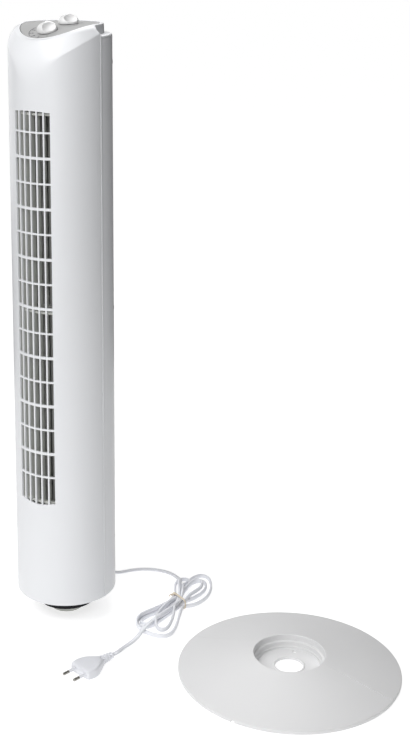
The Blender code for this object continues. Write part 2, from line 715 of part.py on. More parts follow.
# ------------------------------------------------------------------- base disc
def base_profile():
    """Shell of the base disc, outside from the rim to the hole, then underneath."""
    return [(0.1330, 0.0012), (0.1350, 0.0014), (BASE_R, 0.0028), (0.1354, 0.0046),
            (0.1340, 0.0056), (0.0900, 0.0152), (0.0500, 0.0234), (0.0455, 0.0245),
            (0.0440, 0.0244), (RECESS_R, 0.0236), (0.0426, 0.0170), (0.0402, 0.0163),
            (0.0398, 0.0118), (0.0388, 0.0112), (0.0384, BASE_FLOOR_Z),
            (BASE_HOLE_R, BASE_FLOOR_Z), (BASE_HOLE_R, 0.0056), (0.0405, 0.0056),
            (0.0425, 0.0130), (0.0455, 0.0215), (0.0900, 0.0128), (0.1320, 0.0036)]


half_turn = math.degrees(GAP / 2 / 0.05)
BASE_AT = (BASE_X, BASE_Y)
for name, start in (("base_half_front", -90.0), ("base_half_rear", 90.0)):
    half = turned(name, base_profile(), BASE_WHITE, BASE_AT, 24, start + half_turn,
                  180.0 - 2 * half_turn)
    if name == "base_half_rear":
        spots = [Vector((-0.0086, 0.0322))]
    else:
        spots = [Vector((-0.0236, -0.0236)), Vector((0.0322, -0.0086))]
        notch = box("rim_notch", (BASE_X - 0.0065, BASE_Y - 0.1400, -0.01),
                    (BASE_X - 0.0015, BASE_Y - 0.1315, 0.01), BLACK)
        boolean(half, notch)
    for k, spot in enumerate(spots):
        cut = rod(f"{name}_hole_{k}", 0.0024, 0.0, 0.012, BLACK,
                  (BASE_X + spot.x, BASE_Y + spot.y), 12)
        boolean(half, cut)

for name, side in (("base_clip_left", -1), ("base_clip_right", 1)):
    middle = BASE_X + side * 0.0840
    box(name, (middle - 0.018, BASE_Y - 0.012, 0.0062), (middle + 0.018, BASE_Y + 0.012, 0.0082),
        BASE_WHITE)
for number in range(4):
    spot = polar(0.1160, 45.0 + 90.0 * number, 0.0)
    rod(f"base_pad_{number + 1}", 0.0065, 0.0, 0.0052, RUBBER,
        (BASE_X + spot.x, BASE_Y + spot.y), 16)

# ------------------------------------------------------------------------ cord
gland = turned("cord_gland", [(0.0, 0.0590), (0.0060, 0.0590), (0.0060, 0.0612),
                              (0.0043, 0.0612), (0.0043, 0.0655), (0.0052, 0.0655),
                              (0.0052, 0.0675), (0.0032, GLAND_OUT), (0.0, GLAND_OUT)],
               WHITE, segments=16)
place(gland, outward(CORD_EXIT_ANGLE, CORD_EXIT_Z))


def smooth_route(stops, spacing):
    """Points along a smooth curve through the stops."""
    dense = []
    for i in range(len(stops) - 1):
        p0, p1 = stops[max(i - 1, 0)], stops[i]
        p2, p3 = stops[i + 1], stops[min(i + 2, len(stops) - 1)]
        for k in range(12):
            t = k / 12
            dense.append(0.5 * ((2 * p1) + (p2 - p0) * t + (2 * p0 - 5 * p1 + 4 * p2 - p3) * t ** 2
                                + (3 * p1 - p0 - 3 * p2 + p3) * t ** 3))
    dense.append(stops[-1].copy())
    total = sum((b - a).length for a, b in zip(dense, dense[1:]))
    count = max(2, round(total / spacing))
    out, travelled, target = [dense[0]], 0.0, total / count
    for a, b in zip(dense, dense[1:]):
        step = (b - a).length
        while travelled + step >= target - 1e-9 and len(out) < count:
            out.append(a.lerp(b, (target - travelled) / step))
            target += total / count
        travelled += step
    out.append(dense[-1])
    return out


def cord_tube(name, stops):
    curve = bpy.data.curves.new(name, "CURVE")
    curve.dimensions = "3D"
    curve.bevel_depth = CORD_R
    curve.bevel_resolution = 2
    curve.use_fill_caps = True
    spline = curve.splines.new("POLY")
    points = smooth_route([Vector(p) for p in stops], 0.0085)
    spline.points.add(len(points) - 1)
    for slot, p in zip(spline.points, points):
        slot.co = (*p, 1.0)
    curve.materials.append(WHITE)
    obj = bpy.data.objects.new(name, curve)
    bpy.context.scene.collection.objects.link(obj)
    return obj


cord_start = polar(GLAND_OUT + 2 * GAP, CORD_EXIT_ANGLE, CORD_EXIT_Z)
FLOOR_Z = CORD_R + 0.0004
cord_tube("cord_lead", [cord_start, polar(0.0775, CORD_EXIT_ANGLE, CORD_EXIT_Z),
                        (0.0085, 0.0850, 0.0372), (0.0045, 0.0930, 0.0270),
                        (0.0035, 0.0968, 0.0150), (0.0052, 0.1000, 0.0062),
                        (0.0095, 0.1050, 0.0026), (0.0160, 0.1145, FLOOR_Z),
                        (0.0260, 0.1275, FLOOR_Z), (0.0400, 0.1385, FLOOR_Z),
                        (0.0590, 0.1450, FLOOR_Z), (0.0780, 0.1435, FLOOR_Z),
                        (0.0920, 0.1350, 0.0030), (0.0995, 0.1240, 0.0045)])

# The hank narrows where the tie holds it.
HANK_OUTLINE = [(0.1178, 0.0840), (0.1050, 0.1000), (0.1020, 0.1160), (0.1050, 0.1400),
                (0.1060, 0.1560), (0.1130, 0.1700), (0.1280, 0.1680), (0.1400, 0.1530),
                (0.1510, 0.1300), (0.1560, 0.1050), (0.1530, 0.0900), (0.1412, 0.0820),
                (0.1412, 0.0690), (0.1500, 0.0480), (0.1610, 0.0240), (0.1650, 0.0040),
                (0.1600, -0.0090), (0.1480, -0.0130), (0.1340, -0.0130), (0.1160, -0.0080),
                (0.1030, 0.0060), (0.1050, 0.0230), (0.1130, 0.0450), (0.1178, 0.0680)]
WAIST_LEFT, WAIST_RIGHT, WAIST_Y = 0.1168, 0.1422, 0.0755
prism("cord_hank", HANK_OUTLINE, HANK_Z0, HANK_Z1, WHITE, True)


def tie_loop():
    """Flat band around the hank's waist, lying across it."""
    def ring(grow):
        return [(WAIST_LEFT - grow, HANK_Z0 - grow * 0.45), (WAIST_RIGHT + grow, HANK_Z0 - grow * 0.45),
                (WAIST_RIGHT + grow, HANK_Z1 + grow), (WAIST_LEFT - grow, HANK_Z1 + grow)]
    bm = bmesh.new()
    loops = []
    for y in (WAIST_Y - 0.0012, WAIST_Y + 0.0012):
        for grow in (0.0010, 0.0022):
            loops.append([bm.verts.new((x, y, z)) for x, z in ring(grow)])
    near_in, near_out, far_in, far_out = loops
    for i in range(4):
        j = (i + 1) % 4
        bm.faces.new((near_in[i], near_out[i], near_out[j], near_in[j]))
        bm.faces.new((far_in[j], far_out[j], far_out[i], far_in[i]))
        bm.faces.new((near_out[i], far_out[i], far_out[j], near_out[j]))
        bm.faces.new((near_in[j], far_in[j], far_in[i], near_in[i]))
    return finish("cord_tie", bm, TIE, smooth=False)


tie_loop()

PLUG_REAR = PLUG_FRONT - PLUG_DIR * (PLUG_LENGTH + RELIEF_LENGTH)
tail_end = PLUG_REAR - PLUG_DIR * 2 * GAP
cord_tube("cord_tail", [(0.1315, -0.0155, 0.0040), (0.1300, -0.0290, 0.0030),
                        (0.1290, -0.0440, 0.0030), (0.1290, -0.0600, 0.0042),
                        tail_end - PLUG_DIR * 0.0080, tail_end])

# ------------------------------------------------------------------------ plug
plug_frame = (Matrix.Translation(PLUG_FRONT)
              @ PLUG_DIR.to_track_quat("Y", "Z").to_matrix().to_4x4())


def plug_body_mesh():
    """Flat plug and its ribbed strain relief, in rings along -Y from the front face."""
    rings = [(0.0000, 0.82, 0.80), (0.0012, 0.90, 0.94), (0.0090, 1.00, 1.00),
             (0.0180, 0.97, 1.00), (0.0260, 0.74, 0.92), (0.0320, 0.42, 0.78),
             (PLUG_LENGTH, 0.27, 0.66)]
    ribs = 4
    for i in range(ribs):
        y = PLUG_LENGTH + RELIEF_LENGTH * (i + 0.5) / ribs
        rings.append((y - 0.0014, 0.25 - 0.02 * i, 0.60 - 0.05 * i))
        rings.append((y + 0.0010, 0.20 - 0.02 * i, 0.47 - 0.04 * i))
    rings.append((PLUG_LENGTH + RELIEF_LENGTH, 0.14, 0.32))
    bm = bmesh.new()
    loops = []
    sides = 16
    for y, wide, thick in rings:
        loop = []
        for k in range(sides):
            a = 2 * math.pi * (k + 0.5) / sides
            # A squarish ellipse.
            c, s = math.cos(a), math.sin(a)
            c = math.copysign(abs(c) ** 0.6, c)
            s = math.copysign(abs(s) ** 0.6, s)
            loop.append(bm.verts.new((c * PLUG_WIDTH / 2 * wide, -y, s * PLUG_THICK / 2 * thick)))
        loops.append(loop)
    for first, second in zip(loops, loops[1:]):
        for k in range(sides):
            j = (k + 1) % sides
            bm.faces.new((first[k], first[j], second[j], second[k]))
    bm.faces.new(loops[0])
    bm.faces.new(loops[-1][::-1])
    return bm


plug_body = finish("plug_body", plug_body_mesh(), WHITE)
plug_body.matrix_world = plug_frame
for number, side in enumerate((1, -1), 1):
    pin = turned(f"plug_pin_{number}", [(0.0, GAP), (PLUG_PIN_R, GAP),
                                        (PLUG_PIN_R, PLUG_PIN_LENGTH - 0.0012),
                                        (PLUG_PIN_R - 0.0009, PLUG_PIN_LENGTH),
                                        (0.0, PLUG_PIN_LENGTH)], BRASS, segments=14)
    along = Matrix.Translation((side * PLUG_PIN_SPACING / 2, 0.0, 0.0))
    pin.matrix_world = plug_frame @ along @ Matrix.Rotation(math.radians(-90.0), 4, "X")
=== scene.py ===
"""Looks for the tower fan: fine shells, grille, knobs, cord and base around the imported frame.

Metres, +Z up, the frame's own axes. Plan angles are in degrees from the front (-Y),
positive towards +X.
"""
import math

import bmesh
import bpy
from mathutils import Matrix, Vector


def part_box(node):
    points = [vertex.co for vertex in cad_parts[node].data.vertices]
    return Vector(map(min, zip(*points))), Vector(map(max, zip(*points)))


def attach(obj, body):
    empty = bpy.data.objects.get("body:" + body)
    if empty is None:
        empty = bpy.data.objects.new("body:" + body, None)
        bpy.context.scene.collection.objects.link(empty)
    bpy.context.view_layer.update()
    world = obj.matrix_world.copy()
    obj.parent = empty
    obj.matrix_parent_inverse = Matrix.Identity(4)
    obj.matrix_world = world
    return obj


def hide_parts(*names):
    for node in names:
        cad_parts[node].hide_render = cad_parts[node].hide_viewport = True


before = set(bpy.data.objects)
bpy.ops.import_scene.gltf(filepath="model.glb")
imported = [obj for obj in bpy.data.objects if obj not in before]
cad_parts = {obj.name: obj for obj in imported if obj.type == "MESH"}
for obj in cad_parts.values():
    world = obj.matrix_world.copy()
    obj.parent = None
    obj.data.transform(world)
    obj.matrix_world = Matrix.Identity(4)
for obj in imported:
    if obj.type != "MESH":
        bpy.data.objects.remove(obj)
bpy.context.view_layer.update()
BODY_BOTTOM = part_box("front_shell")[0].z
TOWER_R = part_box("rear_shell")[1].y
DISC_LOW, DISC_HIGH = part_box("base_half_front")[0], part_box("base_half_rear")[1]
BASE_AT = ((DISC_LOW.x + DISC_HIGH.x) / 2, (DISC_LOW.y + DISC_HIGH.y) / 2)
BASE_R = (DISC_HIGH.x - DISC_LOW.x) / 2


# --------------------------------------------------------------------- helpers
def polar(radius, angle, z):
    a = math.radians(angle)
    return Vector((radius * math.sin(a), -radius * math.cos(a), z))


def mix(a, b, t):
    return a + (b - a) * t


def smoothstep(low, high, value):
    t = min(1.0, max(0.0, (value - low) / (high - low)))
    return t * t * (3.0 - 2.0 * t)


def piece(name, bm, mats, body="tower", replaces=(), sharp=35.0):
    """Turn a bmesh into a smooth-shaded piece that rides on a body."""
    mesh = bpy.data.meshes.new(name)
    bm.to_mesh(mesh)
    bm.free()
    mesh.shade_smooth()
    mesh.set_sharp_from_angle(angle=math.radians(sharp))
    obj = bpy.data.objects.new(name, mesh)
    bpy.context.scene.collection.objects.link(obj)
    for mat in mats if isinstance(mats, (list, tuple)) else [mats]:
        mesh.materials.append(mat)
    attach(obj, body)
    if replaces:
        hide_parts(*replaces)
    return obj


def bevel(obj, width, segments=2, angle=38.0):
    mod = obj.modifiers.new("edges", "BEVEL")
    mod.width = width
    mod.segments = segments
    mod.limit_method = "ANGLE"
    mod.angle_limit = math.radians(angle)
    mod.use_clamp_overlap = True
    return obj


def cut_with(obj, tools):
    """Cut the tools, plain bmeshes, out of a piece and keep the result as its mesh."""
    for bm in tools:
        mesh = bpy.data.meshes.new("tool")
        bmesh.ops.recalc_face_normals(bm, faces=bm.faces[:])
        bm.to_mesh(mesh)
        bm.free()
        tool = bpy.data.objects.new("tool", mesh)
        bpy.context.scene.collection.objects.link(tool)
        mod = obj.modifiers.new("cut", "BOOLEAN")
        mod.operation = "DIFFERENCE"
        mod.solver = "EXACT"
        mod.object = tool
        graph = bpy.context.evaluated_depsgraph_get()
        cut = bpy.data.meshes.new_from_object(obj.evaluated_get(graph))
        obj.modifiers.remove(mod)
        old = obj.data
        obj.data = cut
        cut.name = obj.name
        bpy.data.meshes.remove(old)
        bpy.data.objects.remove(tool)
    return obj


def lathe(profile, segments=96, start=0.0, sweep=360.0, at=(0.0, 0.0)):
    """Turn a closed (radius, z) outline about Z. Radius 0 makes a pole."""
    bm = bmesh.new()
    full = abs(sweep - 360.0) < 1e-6
    count = segments if full else segments + 1
    poles, rings = {}, []
    for i in range(count):
        a = start + sweep * i / segments
        ring = []
        for k, (radius, z) in enumerate(profile):
            if radius == 0.0:
                if k not in poles:
                    poles[k] = bm.verts.new((at[0], at[1], z))
                ring.append(poles[k])
            else:
                p = polar(radius, a, z)
                ring.append(bm.verts.new((p.x + at[0], p.y + at[1], z)))
        rings.append(ring)
    n = len(profile)
    for i in range(segments):
        left, right = rings[i], rings[(i + 1) % count]
        for k in range(n):
            j = (k + 1) % n
            corners = []
            for v in (left[k], left[j], right[j], right[k]):
                if v not in corners:
                    corners.append(v)
            if len(corners) > 2:
                bm.faces.new(corners)
    if not full:
        bm.faces.new(rings[0])
        bm.faces.new(rings[-1][::-1])
    bmesh.ops.recalc_face_normals(bm, faces=bm.faces[:])
    return bm


def rounded(points, radius, steps=3):
    """Round the corners of a (radius, z) line, keeping its two ends."""
    out = [points[0]]
    for before, here, after in zip(points, points[1:], points[2:]):
        b, h, a = Vector(before), Vector(here), Vector(after)
        cut = min(radius, (b - h).length * 0.45, (a - h).length * 0.45)
        first, last = h + (b - h).normalized() * cut, h + (a - h).normalized() * cut
        for i in range(steps + 1):
            t = i / steps
            p = first * (1 - t) ** 2 + h * 2 * t * (1 - t) + last * t ** 2
            out.append((p.x, p.y))
    out.append(points[-1])
    return out


# ------------------------------------------------------------------- materials
def node(tree, kind, **values):
    made = tree.nodes.new(kind)
    for key, value in values.items():
        if key in made.inputs:
            made.inputs[key].default_value = value
        else:
            setattr(made, key, value)
    return made


def plastic(name, colour, roughness, grain=900.0, bump=0.04, mottle=0.03, coat=0.0,
            coat_rough=0.1, specular=0.5):
    """Moulded plastic: faint colour drift, uneven gloss and a fine skin."""
    mat = bpy.data.materials.new(name)
    mat.use_nodes = True
    tree = mat.node_tree
    shader = tree.nodes["Principled BSDF"]
    shader.inputs["Specular IOR Level"].default_value = specular
    shader.inputs["Coat Weight"].default_value = coat
    shader.inputs["Coat Roughness"].default_value = coat_rough
    where = node(tree, "ShaderNodeTexCoord")
    link = tree.links.new

    drift = node(tree, "ShaderNodeTexNoise", Scale=14.0, Detail=3.0)
    link(where.outputs["Object"], drift.inputs["Vector"])
    tint = node(tree, "ShaderNodeMix", data_type="RGBA")
    darker = tuple(c * (1.0 - mottle) for c in colour)
    link(drift.outputs["Fac"], tint.inputs["Factor"])
    tint.inputs[6].default_value = (*darker, 1.0)
    tint.inputs[7].default_value = (*colour, 1.0)
    link(tint.outputs[2], shader.inputs["Base Color"])

    gloss = node(tree, "ShaderNodeTexNoise", Scale=55.0, Detail=2.0)
    link(where.outputs["Object"], gloss.inputs["Vector"])
    rough = node(tree, "ShaderNodeMapRange")
    rough.inputs["To Min"].default_value = roughness * 0.88
    rough.inputs["To Max"].default_value = roughness * 1.12
    link(gloss.outputs["Fac"], rough.inputs["Value"])
    link(rough.outputs["Result"], shader.inputs["Roughness"])

    skin = node(tree, "ShaderNodeTexNoise", Scale=grain, Detail=2.0)
    link(where.outputs["Object"], skin.inputs["Vector"])
    height = node(tree, "ShaderNodeBump", Strength=bump, Distance=0.0004)
    link(skin.outputs["Fac"], height.inputs["Height"])
    link(height.outputs["Normal"], shader.inputs["Normal"])
    return mat


def metal(name, colour, roughness, stretch=(1.0, 1.0, 40.0)):
    """Drawn or turned metal with fine brushed lines."""
    mat = bpy.data.materials.new(name)
    mat.use_nodes = True
    tree = mat.node_tree
    shader = tree.nodes["Principled BSDF"]
    shader.inputs["Metallic"].default_value = 1.0
    link = tree.links.new
    where = node(tree, "ShaderNodeTexCoord")
    squeeze = node(tree, "ShaderNodeMapping", Scale=stretch)
    link(where.outputs["Object"], squeeze.inputs["Vector"])
    lines = node(tree, "ShaderNodeTexNoise", Scale=260.0, Detail=3.0)
    link(squeeze.outputs["Vector"], lines.inputs["Vector"])
    tint = node(tree, "ShaderNodeMix", data_type="RGBA")
    tint.inputs[6].default_value = (*[c * 0.82 for c in colour], 1.0)
    tint.inputs[7].default_value = (*colour, 1.0)
    link(lines.outputs["Fac"], tint.inputs["Factor"])
    link(tint.outputs[2], shader.inputs["Base Color"])
    rough = node(tree, "ShaderNodeMapRange")
    rough.inputs["To Min"].default_value = roughness * 0.75
    rough.inputs["To Max"].default_value = roughness * 1.3
    link(lines.outputs["Fac"], rough.inputs["Value"])
    link(rough.outputs["Result"], shader.inputs["Roughness"])
    height = node(tree, "ShaderNodeBump", Strength=0.05, Distance=0.0002)
    link(lines.outputs["Fac"], height.inputs["Height"])
    link(height.outputs["Normal"], shader.inputs["Normal"])
    return mat


SHELL = plastic("shell_white", (0.79, 0.80, 0.82), 0.40, bump=0.02, mottle=0.012,
                coat=0.08, coat_rough=0.20)
# The panel is white plastic: its dark grey colour is painted shade, standing in for the shade that
# falls on the top of the tower.
PANEL = plastic("panel_painted_shade", (0.37, 0.37, 0.37), 0.68, bump=0.03, mottle=0.015, specular=0.3)
KNOB = plastic("knob_white", (0.80, 0.80, 0.80), 0.32, bump=0.02, mottle=0.015, coat=0.25)
BASE_WHITE = plastic("base_white", (0.74, 0.74, 0.745), 0.46, grain=1300.0, bump=0.06,
                     mottle=0.012)
INNER = plastic("inner_grey", (0.56, 0.57, 0.54), 0.55, bump=0.05, mottle=0.08)
INNER_DARK = plastic("inner_dark", (0.28, 0.28, 0.27), 0.55, bump=0.05, mottle=0.10)
BLACK = plastic("black_plastic", (0.010, 0.010, 0.012), 0.70, bump=0.05, mottle=0.10,
                specular=0.2)
ACETAL = plastic("acetal_white", (0.70, 0.70, 0.68), 0.40, bump=0.03, mottle=0.03)
RUBBER = plastic("rubber_black", (0.03, 0.03, 0.03), 0.78, grain=1500.0, bump=0.12, mottle=0.15)
CORD = plastic("cord_white", (0.80, 0.81, 0.85), 0.36, grain=1800.0, bump=0.04, mottle=0.03,
               coat=0.1)
TIE = plastic("tie_beige", (0.78, 0.68, 0.54), 0.60, grain=1200.0, bump=0.10, mottle=0.12)
INK = plastic("print_grey", (0.07, 0.07, 0.08), 0.60, bump=0.02, mottle=0.05)
STEEL = metal("steel", (0.60, 0.60, 0.60), 0.30)
NICKEL = metal("nickel", (0.42, 0.41, 0.38), 0.26)


# --------------------------------------------------------------- camera, light
def make_camera():
    """Camera a little right of the fan and above it, its back kept nearly upright."""
    yaw, pitch, roll = -0.5786, 0.1874, -0.0035
    ahead = Vector((math.sin(yaw) * math.cos(pitch), math.cos(yaw) * math.cos(pitch),
                    -math.sin(pitch)))
    level = Vector((math.cos(yaw), -math.sin(yaw), 0.0))
    above = level.cross(ahead)
    right = level * math.cos(roll) + above * math.sin(roll)
    up = above * math.cos(roll) - level * math.sin(roll)
    data = bpy.data.cameras.new("camera")
    data.lens = 66.26
    data.sensor_width = 36.0
    data.shift_x, data.shift_y = 0.1, -0.2667
    data.clip_start, data.clip_end = 0.05, 100.0
    cam = bpy.data.objects.new("camera", data)
    bpy.context.scene.collection.objects.link(cam)
    cam.matrix_world = (Matrix.Translation((1.0096, -1.3879, 0.9107))
                        @ Matrix((right, up, -ahead)).transposed().to_4x4())
    bpy.context.scene.camera = cam


def soft_box(name, angle, rise, watts):
    """Large soft box round the fan, aimed at its middle."""
    aim = Vector((0.12, 0.0, 0.40))
    a, e = math.radians(angle), math.radians(rise)
    data = bpy.data.lights.new(name, "AREA")
    data.shape = "RECTANGLE"
    data.size, data.size_y = 1.2, 1.4
    data.energy = watts
    lamp = bpy.data.objects.new(name, data)
    bpy.context.scene.collection.objects.link(lamp)
    lamp.location = aim + Vector((math.sin(a) * math.cos(e), -math.cos(a) * math.cos(e),
                                  math.sin(e))) * 2.2
    lamp.rotation_euler = (aim - lamp.location).to_track_quat("-Z", "Y").to_euler()
    lamp.visible_camera = False


def floor_disc(name, radius, z, white, glow):
    """Pale floor that glows a little, like a light table."""
    bm = bmesh.new()
    bmesh.ops.create_circle(bm, cap_ends=True, segments=128, radius=radius,
                            matrix=Matrix.Translation((0.15, 0.0, z)))
    mesh = bpy.data.meshes.new(name)
    bm.to_mesh(mesh)
    bm.free()
    disc = bpy.data.objects.new(name, mesh)
    bpy.context.scene.collection.objects.link(disc)
    mat = bpy.data.materials.new(name)
    mat.use_nodes = True
    shader = mat.node_tree.nodes["Principled BSDF"]
    shader.inputs["Base Color"].default_value = (white, white, white, 1.0)
    shader.inputs["Roughness"].default_value = 0.9
    shader.inputs["Specular IOR Level"].default_value = 0.1
    shader.inputs["Emission Color"].default_value = (1.0, 1.0, 1.0, 1.0)
    shader.inputs["Emission Strength"].default_value = glow
    mesh.materials.append(mat)
    return disc


def make_stage():
    """Bright white table, a wide white floor beyond it and seven soft boxes."""
    floor_disc("table", 1.1, 0.0, 0.5, 0.70)
    far = floor_disc("far_floor", 40.0, -0.0010, 0.1, 1.0)
    # The far floor is only there to be seen; it sends no light onto the fan.
    far.visible_diffuse = False
    far.visible_glossy = False
    far.visible_shadow = False
    world = bpy.data.worlds.new("studio")
    bpy.context.scene.world = world
    world.use_nodes = True
    back = world.node_tree.nodes["Background"]
    back.inputs["Color"].default_value = (0.93, 0.94, 0.95, 1.0)
    back.inputs["Strength"].default_value = 1.0
    world.cycles_visibility.diffuse = False
    world.cycles_visibility.glossy = False
    # Plan angle, rise above the level and power: strong from the front left, weak from
    # the right, with one behind on the left that draws the tower's edge.
    soft_box("key", -20.0, 45.0, 27.0)
    soft_box("fill", 30.0, 45.0, 13.0)
    soft_box("front", 15.0, 10.0, 10.0)
    soft_box("right", 100.0, 15.0, 3.0)
    soft_box("side", -110.0, 10.0, 8.0)
    soft_box("back", -150.0, 45.0, 20.0)
    soft_box("top", 0.0, 85.0, 9.0)
    scene = bpy.context.scene
    scene.view_settings.view_transform = "Standard"
    scene.view_settings.look = "None"
    scene.view_settings.exposure = 0.0


make_camera()
make_stage()

# ------------------------------------------------------------------------ cord
CORD_WIDE, CORD_THICK = 0.0056, 0.0036
CORD_EXIT_ANGLE, CORD_EXIT_Z, GLAND_OUT = 172.0, 0.0400, 0.0725
PLUG_FRONT = Vector((0.1185, -0.1385, 0.0072))
PLUG_DIR = Vector((-0.22, -0.975, 0.0)).normalized()
PLUG_LENGTH, RELIEF_LENGTH = 0.0350, 0.0200
PLUG_WIDTH, PLUG_THICK = 0.0353, 0.0137
FLAT_Z = 0.0022              # middle of the cord where it lies flat
EDGE_Z = 0.0034              # and where it stands on its edge in the hank
LAYER = 0.0058               # rise from one layer of the hank to the next
WAIST_X, WAIST_Y, WAIST_SLANT = 0.1295, 0.0755, -0.45


def lead_stops():
    """From the gland down behind the tower and over the floor to the hank."""
    return [polar(GLAND_OUT + 0.0006, CORD_EXIT_ANGLE, CORD_EXIT_Z),
            polar(0.0775, CORD_EXIT_ANGLE, CORD_EXIT_Z),
            Vector((0.0085, 0.0850, 0.0372)), Vector((0.0045, 0.0930, 0.0270)),
            Vector((0.0035, 0.0968, 0.0150)), Vector((0.0052, 0.1000, 0.0062)),
            Vector((0.0095, 0.1050, 0.0026)), Vector((0.0160, 0.1145, FLAT_Z)),
            Vector((0.0260, 0.1275, FLAT_Z)), Vector((0.0400, 0.1385, FLAT_Z)),
            Vector((0.0590, 0.1450, FLAT_Z)), Vector((0.0780, 0.1435, 0.0026)),
            Vector((0.0920, 0.1350, 0.0045)), Vector((0.1020, 0.1235, 0.0100)),
            Vector((0.1100, 0.1100, 0.0135)), Vector((0.1190, 0.0950, 0.0130))]


def tail_stops():
    """From the hank's near end to the plug."""
    rear = PLUG_FRONT - PLUG_DIR * (PLUG_LENGTH + RELIEF_LENGTH)
    end = rear - PLUG_DIR * 0.0006
    return [Vector((0.1300, -0.0300, 0.0036)), Vector((0.1290, -0.0440, FLAT_Z)),
            Vector((0.1290, -0.0600, 0.0034)), end - PLUG_DIR * 0.0080, end]


def at_waist(x, layer):
    """Where a strand passes the tie."""
    return Vector((x, WAIST_Y + (x - WAIST_X) * WAIST_SLANT, EDGE_Z + 0.0008 + LAYER * layer))


def run(layer, *plan):
    """Stops lying in one layer of the hank."""
    return [Vector((x, y, EDGE_Z + LAYER * layer)) for x, y in plan]


def hank_stops():
    """Four loops above the tie and four below it, taken in turn."""
    right_loop = run(1.1, (0.1345, 0.0560), (0.1450, 0.0360), (0.1530, 0.0150), (0.1560, -0.0010),
                     (0.1510, -0.0065), (0.1430, -0.0020), (0.1350, 0.0090), (0.1275, 0.0230),
                     (0.1235, 0.0420))
    small_loop = run(0.9, (0.1110, 0.0960), (0.1040, 0.1080), (0.1005, 0.1200), (0.1035, 0.1300),
                     (0.1115, 0.1320), (0.1175, 0.1240), (0.1210, 0.1060))
    inner_fold = run(0, (0.1210, 0.0550), (0.1155, 0.0360), (0.1110, 0.0200), (0.1115, 0.0090),
                     (0.1180, 0.0030), (0.1255, 0.0080), (0.1280, 0.0240), (0.1292, 0.0480))
    second_loop = run(0, (0.1365, 0.0930), (0.1400, 0.1100), (0.1400, 0.1250), (0.1340, 0.1400),
                      (0.1240, 0.1480), (0.1170, 0.1430), (0.1145, 0.1300), (0.1170, 0.1130))
    outer_fold = run(0, (0.1170, 0.0560), (0.1125, 0.0380), (0.1075, 0.0230), (0.1065, 0.0110),
                     (0.1110, 0.0010), (0.1195, -0.0025), (0.1280, 0.0025), (0.1310, 0.0180),
                     (0.1325, 0.0450))
    third_loop = run(1, (0.1345, 0.0950), (0.1365, 0.1100), (0.1360, 0.1240), (0.1310, 0.1350),
                     (0.1240, 0.1385), (0.1190, 0.1330), (0.1190, 0.1200), (0.1215, 0.1020))
    top_fold = (run(1, (0.1200, 0.0560), (0.1150, 0.0370), (0.1100, 0.0220), (0.1080, 0.0090))
                + run(0.6, (0.1130, -0.0040)) + run(0.1, (0.1230, -0.0100))
                + run(0, (0.1360, -0.0115), (0.1500, -0.0105), (0.1595, -0.0055),
                      (0.1615, 0.0050), (0.1580, 0.0200), (0.1510, 0.0380), (0.1440, 0.0550)))
    outer_loop = (run(0, (0.1455, 0.0790), (0.1505, 0.0920), (0.1515, 0.1120), (0.1460, 0.1320),
                      (0.1370, 0.1480), (0.1270, 0.1590), (0.1170, 0.1625), (0.1105, 0.1560),
                      (0.1080, 0.1440), (0.1095, 0.1290))
                  + run(1.2, (0.1140, 0.1120)) + run(1.9, (0.1235, 0.0960)))
    last = (run(1.2, (0.1335, 0.0560), (0.1325, 0.0350), (0.1305, 0.0150))
            + run(1.1, (0.1300, -0.0010)) + [Vector((0.1303, -0.0140, 0.0088))])
    return ([at_waist(0.1282, 1.1)] + right_loop + [at_waist(0.1200, 1)] + small_loop
            + [at_waist(0.1252, 0)] + inner_fold + [at_waist(0.1298, 0)] + second_loop
            + [at_waist(0.1206, 0)] + outer_fold + [at_waist(0.1344, 0)] + third_loop
            + [at_waist(0.1240, 1)] + top_fold + [at_waist(0.1390, 0)] + outer_loop
            + [at_waist(0.1326, 1.1)] + last)


def smooth_route(stops, spacing):
    """Points at even steps along a smooth curve through the stops."""
    dense = []
    for i in range(len(stops) - 1):
        p1, p2 = stops[i], stops[i + 1]
        p0, p3 = stops[max(i - 1, 0)], stops[min(i + 2, len(stops) - 1)]
        # Centripetal spacing keeps the curve from looping where stops crowd.
        t0 = 0.0
        t1 = t0 + max((p1 - p0).length, 1e-4) ** 0.5
        t2 = t1 + max((p2 - p1).length, 1e-4) ** 0.5
        t3 = t2 + max((p3 - p2).length, 1e-4) ** 0.5
        for k in range(14):
            t = t1 + (t2 - t1) * k / 14
            a1 = p0 * ((t1 - t) / (t1 - t0)) + p1 * ((t - t0) / (t1 - t0))
            a2 = p1 * ((t2 - t) / (t2 - t1)) + p2 * ((t - t1) / (t2 - t1))
            a3 = p2 * ((t3 - t) / (t3 - t2)) + p3 * ((t - t2) / (t3 - t2))
            b1 = a1 * ((t2 - t) / (t2 - t0)) + a2 * ((t - t0) / (t2 - t0))
            b2 = a2 * ((t3 - t) / (t3 - t1)) + a3 * ((t - t1) / (t3 - t1))
            dense.append(b1 * ((t2 - t) / (t2 - t1)) + b2 * ((t - t1) / (t2 - t1)))
    dense.append(stops[-1].copy())
    total = sum((b - a).length for a, b in zip(dense, dense[1:]))
    count = max(2, round(total / spacing))
    out, travelled, target = [dense[0]], 0.0, total / count
    for a, b in zip(dense, dense[1:]):
        step = (b - a).length
        while travelled + step >= target - 1e-9 and len(out) < count:
            out.append(a.lerp(b, (target - travelled) / step))
            target += total / count
        travelled += step
    out.append(dense[-1])
    return out


def relaxed(points, fixed_start, fixed_end, rounds):
    """Ease kinks out of a route, leaving its two ends alone."""
    for _ in range(rounds):
        fresh = [p.copy() for p in points]
        for i in range(fixed_start, len(points) - fixed_end):
            fresh[i] = points[i] * 0.5 + (points[i - 1] + points[i + 1]) * 0.25
        points = fresh
    return points


def cord_route():
    stops = lead_stops() + hank_stops() + tail_stops()
    return relaxed(smooth_route(stops, 0.0036), 3, 3, 3)


